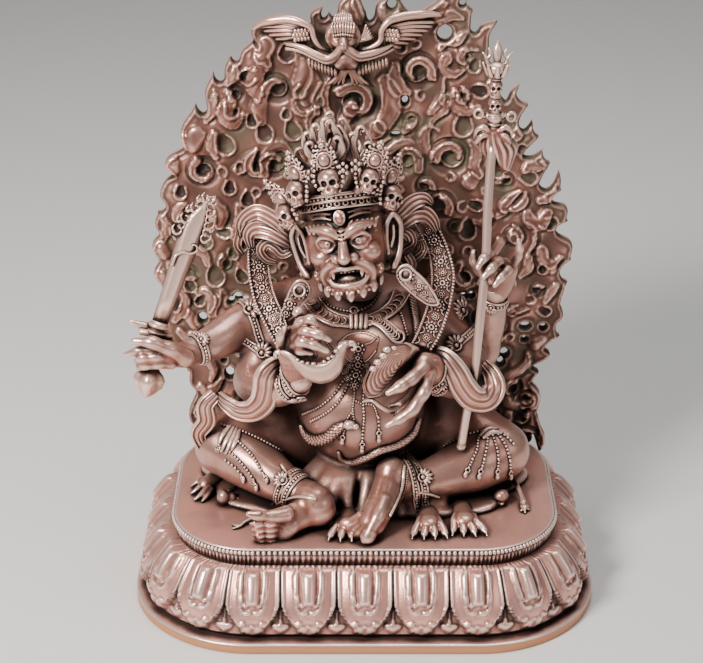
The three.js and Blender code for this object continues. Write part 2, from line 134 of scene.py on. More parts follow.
def turned(degrees_x=0, degrees_y=0, degrees_z=0):
    """The matrix of turns about X, then Y, then Z."""
    matrix = np.eye(3)
    for axis, degrees in enumerate((degrees_x, degrees_y, degrees_z)):
        c, s = math.cos(math.radians(degrees)), math.sin(math.radians(degrees))
        step = np.eye(3)
        i, j = (axis + 1) % 3, (axis + 2) % 3
        step[i, i], step[i, j], step[j, i], step[j, j] = c, -s, s, c
        matrix = step @ matrix
    return matrix


def facing(normal, up=UP):
    """A matrix whose columns are across, up and out for a patch that faces along a normal."""
    out = unit(normal)
    across = unit(np.cross(up, out))
    return np.stack([across, np.cross(out, across), out], axis=1)


# Meshes

class Heap:
    """Vertices and faces gathered for one piece."""

    def __init__(self):
        self.verts, self.faces, self.count = [], [], 0

    def add(self, verts, faces):
        self.verts.append(np.asarray(verts, float))
        self.faces.extend((np.asarray(group) + self.count).tolist() for group in faces if len(group))
        self.count += len(verts)

    def piece(self, name, node="mahakala_figure", slot="figure_copper", crease=None):
        """Makes the object; edges sharper than a crease angle in degrees aren't smoothed over."""
        mesh = bpy.data.meshes.new(name)
        faces = [face for group in self.faces for face in group]
        mesh.from_pydata((np.concatenate(self.verts) * MM).tolist(), [], faces)
        mesh.polygons.foreach_set("use_smooth", np.ones(len(faces), bool))
        if crease:
            mesh.set_sharp_from_angle(angle=math.radians(crease))
        mesh.materials.append(COPPERS[slot])
        made = bpy.data.objects.new(name, mesh)
        bpy.context.scene.collection.objects.link(made)
        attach(made, "root")
        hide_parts(node)
        return made


def grid_faces(rows, columns, closed):
    """Quads between rows of points, counter-clockwise seen from outside when rows run upwards."""
    i = np.arange(rows - 1)[:, None] * columns
    j = np.arange(columns if closed else columns - 1)[None, :]
    k = (j + 1) % columns
    return np.stack([i + j, i + k, i + columns + k, i + columns + j], axis=-1).reshape(-1, 4)


def capped(heap, rings, ends):
    """A skin over rings of points, closed by a fan to a place at each end."""
    rows, columns = rings.shape[:2]
    total = rows * columns
    last = total - columns
    j = np.arange(columns)
    k = (j + 1) % columns
    caps = np.vstack([np.stack([k, j, np.full(columns, total)], 1),
                      np.stack([last + j, last + k, np.full(columns, total + 1)], 1)])
    heap.add(np.vstack([rings.reshape(-1, 3), ends]), [grid_faces(rows, columns, True), caps])


def unit_ball(sides, rows):
    """A ball of radius 1: rings between two poles."""
    angles = circle(sides)
    tilts = np.linspace(-np.pi / 2, np.pi / 2, rows + 1)[1:-1]
    east, north = np.cos(angles), np.sin(angles)
    rings = [np.stack([np.cos(t) * east, np.cos(t) * north, np.full(sides, np.sin(t))], 1)
             for t in tilts]
    verts = np.vstack(rings + [[[0, 0, -1]], [[0, 0, 1]]])
    j = np.arange(sides)
    k = (j + 1) % sides
    last = (rows - 2) * sides
    caps = [np.stack([k, j, np.full(sides, len(verts) - 2)], 1),
            np.stack([last + j, last + k, np.full(sides, len(verts) - 1)], 1)]
    return verts, [grid_faces(rows - 1, sides, True), np.vstack(caps)]


def scatter(heap, shape, centres, scales, turns=None):
    """Copies of a shape at centres, each scaled and turned."""
    verts, faces = shape
    centres = np.asarray(centres, float)
    count = len(centres)
    scales = np.asarray(scales, float)
    if scales.ndim == 0:
        scales = np.full((count, 3), scales)
    elif scales.ndim == 1 and scales.size == count and count != 3:
        scales = np.repeat(scales[:, None], 3, axis=1)
    scales = np.broadcast_to(scales, (count, 3))
    copies = verts[None] * scales[:, None, :]
    if turns is not None:
        copies = np.einsum("nij,nvj->nvi", np.broadcast_to(turns, (count, 3, 3)), copies)
    copies += centres[:, None, :]
    shift = (np.arange(count) * len(verts))[:, None, None]
    shape_faces = [(group[None] + shift).reshape(-1, group.shape[1]) for group in faces]
    heap.add(copies.reshape(-1, 3), shape_faces)


def tube(heap, points, radii, sides=8, across=None, flat=1.0, closed=False):
    """A tube through points. Flat squeezes it at right angles to a given way across."""
    points = np.asarray(points, float)
    count = len(points)
    radii = np.broadcast_to(np.asarray(radii, float), (count,))
    if closed:
        ways = unit(np.roll(points, -1, axis=0) - np.roll(points, 1, axis=0))
    else:
        ways = unit(np.gradient(points, axis=0))
    if across is None:
        side = unit(np.cross(ways[0], [0.31, 0.52, 0.79]))
        frames = []
        for way in ways:
            side = unit(side - way * np.dot(side, way))
            frames.append(side)
        side = np.array(frames)
    else:
        side = np.broadcast_to(np.asarray(across, float), points.shape)
        side = unit(side - ways * np.sum(side * ways, axis=1, keepdims=True))
    through = np.cross(ways, side)
    angles = circle(sides)
    ring = side[:, None] * np.cos(angles)[None, :, None]
    ring = ring + flat * through[:, None] * np.sin(angles)[None, :, None]
    rings = points[:, None] + ring * radii[:, None, None]
    if closed:
        heap.add(rings.reshape(-1, 3), [grid_faces(count + 1, sides, True) % (count * sides)])
        return
    capped(heap, rings, [points[0] - 0.5 * radii[0] * ways[0], points[-1] + 0.5 * radii[-1] * ways[-1]])


# Materials

def copper(name, dark, mid, bright, reach, patina=0.0, bare=None, ground=None):
    """Antiqued copper: brown in the hollows from patina and painted shade, copper on the faces, and pink
    on the edges from rubbed wear and a painted highlight.

    Reach is how far, in millimetres, a hollow's walls still darken it. Patina is the share of grey-green
    bloom in the half-open places; bare is a height in metres under which the metal is bright orange.
    Ground is the depth of a plate's ground and of its raised forms, in metres; the ground is darkened
    below the raised forms, partly patina and partly painted shade.
    """
    material = bpy.data.materials.new(name)
    material.use_nodes = True
    nodes, links = material.node_tree.nodes, material.node_tree.links
    shader = nodes["Principled BSDF"]

    def add(kind, **values):
        made = nodes.new(kind)
        for key, value in values.items():
            if key in made.inputs:
                made.inputs[key].default_value = value
            else:
                setattr(made, key, value)
        return made

    def ramp(source, low, high, start=0.0, end=1.0):
        made = add("ShaderNodeMapRange", interpolation_type="SMOOTHSTEP")
        for key, value in (("From Min", low), ("From Max", high), ("To Min", start), ("To Max", end)):
            made.inputs[key].default_value = value
        links.new(source, made.inputs["Value"])
        return made.outputs["Result"]

    def blend(factor, first, second, mode="MIX"):
        made = add("ShaderNodeMix", data_type="RGBA", blend_type=mode)
        for socket, value in ((made.inputs["Factor"], factor), (made.inputs[6], first),
                              (made.inputs[7], second)):
            if hasattr(value, "links"):
                links.new(value, socket)
            else:
                socket.default_value = value if isinstance(value, float) else (*value, 1)
        return made.outputs[2]

    def combine(operation, first, second):
        made = add("ShaderNodeMath", operation=operation, use_clamp=True)
        for socket, value in zip(made.inputs, (first, second)):
            if hasattr(value, "links"):
                links.new(value, socket)
            else:
                socket.default_value = value
        return made.outputs[0]

    place = add("ShaderNodeTexCoord").outputs["Object"]
    cloud = add("ShaderNodeTexNoise", Scale=55.0, Detail=5.0)
    grain = add("ShaderNodeTexNoise", Scale=900.0, Detail=3.0)
    blotch = add("ShaderNodeTexNoise", Scale=180.0, Detail=4.0)
    for texture in (cloud, grain, blotch):
        links.new(place, texture.inputs["Vector"])
    # The near occlusion browns the hollows: partly their patina, partly painted shade.
    hollow = add("ShaderNodeAmbientOcclusion", samples=8, Distance=reach * MM).outputs["AO"]
    edge = ramp(add("ShaderNodeNewGeometry").outputs["Pointiness"], 0.49, 0.55)
    uneven = combine("MULTIPLY", combine("SUBTRACT", blotch.outputs["Fac"], 0.5), 0.5)
    open_face = combine("ADD", hollow, uneven)
    open_face = ramp(open_face, 0.5, 1.0)
    # Painted shade where larger masses enclose a place, such as the belly between the arms; partly
    # patina.
    painted_wide_shade = add("ShaderNodeAmbientOcclusion", samples=6, Distance=55 * MM).outputs["AO"]
    open_face = combine("MULTIPLY", open_face, ramp(painted_wide_shade, 0.2, 0.85, 0.12, 1))
    spot = add("ShaderNodeSeparateXYZ")
    links.new(place, spot.inputs[0])
    # The plate's sunken ground is darkened below its raised forms: partly patina, partly painted shade.
    if ground:
        raised = combine("MAXIMUM", ramp(spot.outputs["Y"], ground[0], ground[1], 0.3, 1.0),
                         ramp(spot.outputs["Y"], ground[0] + 0.002, ground[0] + 0.003, 0.0, 0.8))
        open_face = combine("MULTIPLY", open_face, raised)
    # Pink on the edges of open faces: partly rubbed wear, partly a painted highlight.
    rubbed_and_highlit = combine("MULTIPLY", edge, ramp(open_face, 0.1, 0.9))
    # The dark colour, patina and painted shade, fills the hollows; the mid colour the open faces.
    colour = blend(open_face, dark, mid)
    cooler = [mid[0] * 0.62, mid[1] * 0.68, mid[2] * 0.78]
    colour = blend(ramp(cloud.outputs["Fac"], 0.4, 0.7, 0.0, 0.6), colour, blend(open_face, dark, cooler))
    if patina:
        half_open = combine("MULTIPLY", combine("SUBTRACT", 1.0, open_face), ramp(hollow, 0.2, 0.5))
        bloom = combine("MULTIPLY", half_open, ramp(cloud.outputs["Fac"], 0.46, 0.6, 0.0, patina))
        colour = blend(bloom, colour, (0.19, 0.17, 0.10))
    colour = blend(rubbed_and_highlit, colour, bright)
    if bare is not None:
        colour = blend(ramp(spot.outputs["Z"], bare + 0.0004, bare - 0.0004), colour, (0.56, 0.26, 0.13))
    links.new(colour, shader.inputs["Base Color"])
    links.new(ramp(open_face, 0, 1, 0.62, 0.28), shader.inputs["Roughness"])
    links.new(ramp(open_face, 0, 1, 0.2, 0.72), shader.inputs["Metallic"])
    relief = add("ShaderNodeBump", Strength=0.18, Distance=0.0004)
    links.new(grain.outputs["Fac"], relief.inputs["Height"])
    links.new(relief.outputs["Normal"], shader.inputs["Normal"])
    return material


# The materials by slot: each dark colour is partly patina and partly painted shade, each bright one
# partly rubbed wear and partly a painted highlight. The aureole's ground and its raised forms lie at
# these depths, in metres.
PLATE_GROUND = ((aureole_box[1][1] - 5.2) * MM, (aureole_box[1][1] - 8.6) * MM)
COPPERS = {
    "figure_copper": copper("figure_copper", dark=(0.012, 0.006, 0.005), mid=(0.42, 0.172, 0.126),
                            bright=(1.0, 0.70, 0.59), reach=7.0),
    "plinth_copper": copper("plinth_copper", dark=(0.03, 0.013, 0.010), mid=(0.93, 0.45, 0.36),
                            bright=(1.0, 0.78, 0.69), reach=6.0, bare=0.005),
    "aureole_copper": copper("aureole_copper", dark=(0.014, 0.009, 0.006), mid=(0.325, 0.142, 0.106),
                             bright=(0.88, 0.54, 0.45), reach=8.0, patina=0.5, ground=PLATE_GROUND),
}

# The plinth: a lofted surface with petals in relief.

PLINTH_CORNER = 66
RIM_HEIGHT = 5.6
# How far in from the edge the petals are evenly spread.
EVEN_INSET = 7
PETALS = 24
HALF_PITCH = 13.95
RIBS_PER_PETAL = 10
COLUMNS_PER_PETAL = 36
PETAL_FOOT = 8.6
PETAL_TOP = 39
TOP_INSET = 22
PEARL_RADIUS = 1.3


def around_plinth(shares, inset):
    """Points of the plinth's plan and the ways out there, at shares of the way round from the front.

    The points are moved in from the edge by an inset.
    """
    half = plinth_box[1][:2]
    straight = half - PLINTH_CORNER
    bend_radius = PLINTH_CORNER - EVEN_INSET
    arc = bend_radius * np.pi / 2
    whole = 4 * (straight.sum() + arc)
    along = (np.asarray(shares) % 1) * whole
    corners = [(1, -1, -np.pi / 2), (1, 1, 0), (-1, 1, np.pi / 2), (-1, -1, np.pi)]
    point = np.zeros((len(along), 2))
    normal = np.zeros((len(along), 2))
    start = -straight[0]
    for n, (side_x, side_y, first) in enumerate(corners):
        run = 2 * straight[n % 2]
        reach = along - start if n else np.where(along > whole / 2, along - whole, along) - start
        out = np.array([math.cos(first), math.sin(first)])
        way = np.array([-out[1], out[0]])
        on = (reach >= -1e-6) & (reach <= run)
        centre = np.array([side_x, side_y]) * straight
        end = centre + out * PLINTH_CORNER
        point[on] = end + way * (reach[on] - run)[:, None]
        normal[on] = out
        bend = reach - run
        on = (bend > 0) & (bend <= arc + 1e-6)
        angle = first + bend[on] / bend_radius
        normal[on] = np.stack([np.cos(angle), np.sin(angle)], 1)
        point[on] = centre + normal[on] * PLINTH_CORNER
        start += run + arc
    return point - normal * np.asarray(inset)[..., None], normal


def path_distance(x, y, points):
    """Distance from grid points to a polyline, and the share of the way along it."""
    points = np.asarray(points, float)
    best = np.full(np.broadcast(x, y).shape, 1e9)
    share = np.zeros(best.shape)
    for n, (a, b) in enumerate(zip(points[:-1], points[1:])):
        d = b - a
        t = np.clip(((x - a[0]) * d[0] + (y - a[1]) * d[1]) / max(d @ d, 1e-12), 0, 1)
        far = np.hypot(x - a[0] - t * d[0], y - a[1] - t * d[1])
        closer = far < best
        best = np.where(closer, far, best)
        share = np.where(closer, (n + t) / (len(points) - 1), share)
    return best, share


def petal_relief(s, t):
    """Height of a petal's carving: s across from its middle, t down from the stamens, in millimetres."""
    side = np.abs(s)
    body = 4.2 * np.sqrt(np.clip(1 - (side / 15.5) ** 2, 0, 1)) * (1 - 0.4 * smooth((t - 24) / 9))
    # The rim that divides from the neighbour's and curls in near the tip.
    rim = curve_2d([(13.2, -1), (13.1, 9), (12.9, 15), (11.4, 21), (8.6, 25.8), (6.4, 27), (4.8, 26)], 26)
    far, share = path_distance(side, t, rim)
    height = body + 1.7 * dome(far, 0.9 + 0.65 * smooth((share - 0.86) / 0.1))
    # The tongue down the middle, with a moat about it.
    moat = smooth((6.2 - side) / 0.9) * smooth((19 - t) / 1.2)
    height = height - 2.0 * moat
    foot = np.sqrt(np.clip(1 - np.clip((1.4 - t) / 3.2, 0, 1) ** 2, 0, 1))
    ends = foot * np.sqrt(np.clip((17.2 - t) / 3.4, 0, 1))
    tongue = np.sqrt(np.clip(1 - (side / (3.9 - 0.5 * np.clip((t - 6) / 11, 0, 1))) ** 3, 0, 1))
    height = np.maximum(height, body - 2.0 + 6.2 * tongue * ends)
    height = np.maximum(height, body + 0.6 * dome(np.hypot(side, t - 17.4), 1.6))
    # Two rims about the tongue, each ending in a small knob.
    inner = [(5.9, -1), (5.8, 6), (5.2, 12), (4.5, 15.2), (3.2, 15.9), (2.6, 15.5)]
    outer = [(7.2, 1), (7.0, 8), (6.3, 14), (4.8, 18.6), (2.8, 20.2), (1.8, 19.8)]
    for path, half, knob in ((inner, 0.85, 0.5), (outer, 0.7, 0.75)):
        far, share = path_distance(side, t, curve_2d(path, 18))
        height = np.maximum(height, body + 1.5 * dome(far, half + knob * smooth((share - 0.84) / 0.1)))
    # The two lobes at the tip, and the dark triangles beside the stem between the petals.
    for x, y, r in ((0, 27.4, 1.2), (2.6, 28.9, 2.6)):
        height = np.maximum(height, body - 0.6 + 2.3 * dome(np.hypot(side - x, t - y), r))
    edge = HALF_PITCH - np.interp(t, [13, 17, 21, 25, 27.5, 30, 32], [0, 0.9, 2.6, 5.4, 7.6, 8.6, 13.9])
    open_space = smooth((side - edge) / 0.6) * smooth((t - 13) / 1.5)
    height = height * (1 - open_space) - 2.4 * open_space
    away = HALF_PITCH - side
    stem = 2.0 * dome(away, 0.5 + 0.13 * np.maximum(t - 21, 0))
    stem = stem * smooth((t - 17) / 2) * smooth((30 - t) / 3)
    spade = dome(np.hypot(away / 4.9, (t - 28.4 + 0.35 * away) / 2.6), 1.0)
    height = np.maximum(height, np.maximum(stem, 2.8 * spade) - 0.8)
    gap = smooth((side - (HALF_PITCH - 0.55)) / 0.4)
    return height - 2.2 * gap * (t < 17)


def make_plinth():
    columns = PETALS * COLUMNS_PER_PETAL
    shares = np.arange(columns) / columns
    s = ((shares * PETALS + 0.5) % 1 - 0.5) * 2 * HALF_PITCH
    ribs = np.cos(2 * np.pi * shares * PETALS * RIBS_PER_PETAL)
    rows = [(0.6, 0.0), (0, 0.6), (0, 3), (0, RIM_HEIGHT - 0.5), (0.4, RIM_HEIGHT),
            (1.6, RIM_HEIGHT + 0.2), (3.4, RIM_HEIGHT + 0.3), (5.6, RIM_HEIGHT + 0.3),
            (7.6, RIM_HEIGHT + 0.6), (8.4, RIM_HEIGHT + 1.4), (8.2, PETAL_FOOT - 0.4)]
    flat = np.zeros(columns)
    loops = [(inset + flat, z + flat) for inset, z in rows]
    for t in np.linspace(31.5, -1, 43):
        rise = np.clip((31.5 - t) / 32, 0, 1)
        inset = 5.2 + (TOP_INSET - 6.2) * rise**1.75
        z = PETAL_FOOT + (PETAL_TOP - PETAL_FOOT) * rise**0.92
        height = petal_relief(s, np.full(columns, t))
        tilt = math.radians(52 - 30 * rise)
        loops.append((inset - height * math.cos(tilt), z + height * math.sin(tilt) * 0.55))
    for inset, z, depth in ((TOP_INSET + 2.6, 39.2, 0), (TOP_INSET + 1.9, 40.2, 0.9),
                            (TOP_INSET + 1.5, 41.4, 1.1), (TOP_INSET + 1.0, 43.4, 1.0),
                            (TOP_INSET + 0.6, 45.6, 0.8), (TOP_INSET + 1.0, 46.4, 0.2),
                            (TOP_INSET + 1.1, 47.6, 0), (TOP_INSET + 0.9, 48.6, 0),
                            (TOP_INSET + 0.2, 49.1, 0), (TOP_INSET + 0.3, 49.8, 0),
                            (TOP_INSET + 1.0, 50, 0)):
        loops.append((inset - depth * np.maximum(ribs, -0.4), z + flat))
    verts = []
    for inset, z in loops:
        point, _ = around_plinth(shares, inset)
        verts.append(np.column_stack([point, z]))
    total = len(verts) * columns
    # The flat top has a quarter of the columns.
    coarse = columns // 4
    ring, _ = around_plinth(shares[::4], np.full(coarse, TOP_INSET + 1.6))
    for scale in (1, 0.6, 0.3):
        verts.append(np.column_stack([ring * scale, np.full(coarse, FLOOR)]))
    heap = Heap()
    j = np.arange(columns)
    k = (j + 1) % columns
    i = np.arange(coarse)
    n = (i + 1) % coarse
    border = np.column_stack([total - columns + (4 * i + step) % columns for step in range(5)]
                             + [total + n, total + i])
    top = total + 3 * coarse
    inner = grid_faces(3, coarse, True) + total
    fan = np.stack([top - coarse + i, top - coarse + n, np.full(coarse, top + 1)], 1)
    base = np.stack([k, j, np.full(columns, top)], 1)
    points = np.vstack(verts + [[[0, 0, 0]], [[0, 0, FLOOR]]])
    heap.add(points, [grid_faces(total // columns, columns, True), border, inner, fan, base])
    pearls = PETALS * RIBS_PER_PETAL
    spots, _ = around_plinth(np.arange(pearls) / pearls, np.full(pearls, TOP_INSET - 0.1))
    scatter(heap, unit_ball(7, 4), np.column_stack([spots, np.full(pearls, 48.1)]), PEARL_RADIUS)
    return heap.piece("lotus_base", "lotus_plinth", "plinth_copper")


# The aureole: a pierced plate in relief, its outline and carving placed as the photograph shows them.

PLATE_STEP = 0.76
PLATE_FRONT = aureole_box[1][1] - 5
PLATE_BACK = aureole_box[1][1]
# Millimetres to a pixel at the plate, and how far a flame's shade lies beside it.
PLATE_PIXEL = 1 / 1.95
FLAME_SHADE = (0.9, -0.7)
# The small rings of the bare ground: how far apart they are tried, and how much of a place may be taken.
RING_SPACING = 9
RING_CROWDING = 0.1

# The outline clockwise from the foot at the left, in photograph pixels: u is the bottom of a hollow,
# t a pointed tip, r the top of a round lobe and n a notch.
OUTLINE = [
    ('n', 226, 446), ('u', 214, 433), ('r', 193, 424), ('r', 189, 413), ('r', 193, 401), ('u', 196, 392),
    ('r', 190, 383), ('n', 190, 372), ('r', 168, 352), ('n', 166, 336), ('r', 157, 320), ('r', 160, 302),
    ('n', 163, 288), ('r', 154, 274), ('n', 160, 262), ('r', 152, 247), ('n', 160, 235), ('r', 155, 224),
    ('t', 157, 212), ('u', 166, 208), ('r', 160, 195), ('r', 166, 181), ('n', 175, 176), ('r', 165, 163),
    ('n', 184, 149), ('r', 181, 130), ('t', 195, 103), ('u', 205, 114), ('r', 205, 92), ('t', 212.5, 71),
    ('u', 221, 83), ('r', 225, 68), ('t', 230, 53), ('u', 236, 63), ('r', 242, 52), ('t', 254, 39),
    ('n', 258, 47), ('r', 252, 30), ('r', 275, 17), ('r', 297, 18), ('u', 309, 26), ('r', 311, 14),
    ('t', 325, 4), ('u', 322, 19), ('t', 329, 13), ('u', 335, 18), ('r', 340, 2), ('t', 357, -14),
    ('r', 361, 2), ('t', 366, 12), ('u', 371, 22), ('r', 378, 4), ('t', 398, -12), ('r', 403, 6),
    ('u', 414, 14), ('r', 432, 6), ('r', 447, -6), ('t', 470, -12), ('r', 466, 3), ('t', 475, 9),
    ('r', 471, 20), ('u', 474, 34), ('r', 483, 26), ('t', 501, 19), ('r', 490, 34), ('t', 489, 43),
    ('u', 489, 66), ('u', 505, 102), ('r', 512, 92), ('t', 523, 81), ('r', 517, 97), ('t', 530, 103),
    ('u', 521, 130), ('t', 537, 112), ('r', 533, 128), ('t', 540, 136), ('u', 526, 158), ('t', 552, 139),
    ('r', 543, 155), ('t', 551, 162), ('u', 543, 190), ('t', 561, 168), ('r', 561, 180), ('t', 563, 190),
    ('u', 552, 201), ('r', 567, 208), ('t', 569, 222), ('u', 556, 231), ('r', 572, 244), ('t', 573, 260),
    ('u', 560, 272), ('t', 569, 282), ('r', 563, 294), ('n', 560, 304), ('r', 563, 316), ('u', 556, 326),
    ('t', 561, 336), ('u', 544, 348), ('r', 550, 355), ('n', 530, 367), ('t', 541, 371), ('n', 530, 382),
    ('r', 540, 394), ('n', 537, 413), ('r', 541, 427), ('r', 545, 438), ('u', 539, 452),
]

# Open rims round the hollows between the flames: place, radius, turn of the opening in degrees and how
# far it closes.
DROPS = [
    (226, 145, 10, -25, 1.0), (232, 110, 7, -20, 0.5), (247, 76, 8, 60, 0.7), (252, 121, 6, -10, 0.6),
    (265, 133, 9, -12, 1.0), (294, 131, 9, -20, 0.7), (287, 53, 9, 10, 0.6), (286, 114, 5, 10, 0.6),
    (230, 188, 6.5, 0, 0.6), (248, 200, 7.5, 0, 1.0), (240, 168, 5.5, 20, 0.4), (257, 166, 5.5, -25, 0.4),
    (463, 56, 7, -20, 0.5), (474, 66, 6, 10, 0.6), (481, 90, 7.5, -80, 0.7), (463, 126, 10, 0, 0.7),
    (477, 204, 6.5, -80, 0.7), (467, 230, 9.5, 0, 1.0), (530, 177, 7.5, -70, 0.5),
    (527, 152, 8, -60, 0.5), (216, 276, 10, -8, 1.0), (191, 285, 6.5, -20, 0.6), (200, 300, 5.5, 20, 0.6),
    (226, 231, 6, -90, 0.5), (206, 241, 7.5, -40, 0.6), (233, 254, 5.5, -10, 0.6),
    (243, 245, 5.5, 20, 0.8), (243, 276, 7, -25, 1.0), (181, 192, 6, 0, 0.5), (550, 222, 8, -80, 0.5),
    (542, 268, 5, 0, 0.6), (463, 276, 8, -60, 0.7), (512, 309, 6, 70, 0.4), (207, 338, 7, -30, 0.7),
    (521, 60, 5, -40, 0.4), (497, 170, 7, -10, 0.6), (505, 205, 6, 30, 0.5), (493, 140, 6, -50, 0.5),
    (511, 124, 6, -70, 0.6), (178, 232, 7, -30, 0.6), (186, 255, 6, 10, 0.5), (184, 215, 5.5, 50, 0.5),
    (175, 305, 6, 10, 0.6), (425, 250, 8, 0, 0.7), (452, 320, 7, 20, 0.6), (440, 30, 5, 30, 0.4),
    (300, 90, 6, 20, 0.5), (318, 100, 6, -10, 0.6), (545, 310, 6, -60, 0.5), (222, 326, 6, 60, 0.5),
]

# Scrolls: place, radius, angle at which the rim starts, hand and turns.
VOLUTES = [
    (203, 170, 17, 110, 1, 1.35), (277, 88, 16, 200, -1, 1.1), (355, 100, 25, 150, -1, 1.4),
    (418, 70, 20, -30, 1, 1.45), (450, 155, 21, 200, -1, 1.3), (440, 203, 16, -50, 1, 1.1),
    (411, 119, 9, -130, 1, 0.9), (512, 386, 12, 60, 1, 1.1), (526, 397, 11, 240, 1, 1.3),
    (519, 416, 11, 40, -1, 1.2), (203, 410, 12, 260, -1, 1.2), (526, 438, 17, 150, -1, 0.8),
    (250, 330, 12, 60, 1, 1.1), (468, 372, 14, 200, -1, 1.2), (235, 93, 9, 150, 1, 1.0),
    (500, 270, 13, 40, 1, 1.2), (274, 163, 15, 160, -1, 1.1), (407, 158, 15, 20, 1, 1.2),
    (288, 205, 13, 200, -1, 1.2), (425, 185, 11, -20, 1, 1.1), (514, 234, 12, 100, -1, 0.7),
    (226, 262, 11, 100, 1, 1.1), (190, 272, 9, -40, -1, 1.1), (537, 289, 8.5, 30, 1, 1.0),
    (482, 330, 12, 140, -1, 1.1), (440, 268, 10, 60, 1, 1.1), (456, 400, 12, 30, 1, 1.2),
    (222, 345, 11, 200, -1, 1.1), (462, 95, 10, 90, -1, 1.1), (330, 135, 12, 100, 1, 1.0),
    (505, 180, 10, 200, -1, 1.1), (455, 225, 9, 30, -1, 1.0),
]

# Round bosses and bars: a path of places with a half-width in pixels for each.
BOSSES = [
    [(182, 138, 7), (191, 141, 10), (197, 134, 9)],
    [(170, 158, 8), (173, 168, 7)],
    [(160, 246, 8), (164, 252, 7)],
    [(160, 273, 6), (166, 279, 6)],
    [(378, 128, 8), (380, 124, 7)],
    [(386, 84, 6), (390, 105, 8), (385, 122, 6)],
    [(445, 58, 6), (446, 59, 5)],
    [(514, 234, 9), (515, 235, 8)],
    [(528, 216, 6), (537, 220, 6), (545, 213, 6)],
    [(543, 251, 6), (544, 258, 5)],
    [(205, 402, 4), (205, 410, 5)],
    [(262, 92, 6), (259, 106, 8), (262, 120, 5)],
    [(305, 62, 7), (312, 82, 10), (306, 100, 6)],
    [(270, 42, 8), (262, 56, 8), (268, 66, 5)],
    [(345, 118, 6), (352, 104, 6)],
    [(392, 75, 6), (396, 66, 5)],
    [(456, 100, 7), (462, 108, 6)],
    [(500, 240, 6), (492, 252, 6)],
    [(470, 180, 8), (478, 172, 6)],
    [(215, 215, 7), (222, 208, 5)],
    [(218, 300, 8), (212, 312, 6)],
    [(196, 322, 7), (188, 312, 6)],
    [(550, 262, 5), (552, 268, 5)],
    [(535, 342, 7), (542, 338, 5)],
    [(547, 180, 6), (551, 188, 5)],
    [(531, 118, 4), (528, 126, 4)],
    [(450, 420, 8), (458, 430, 6)],
]

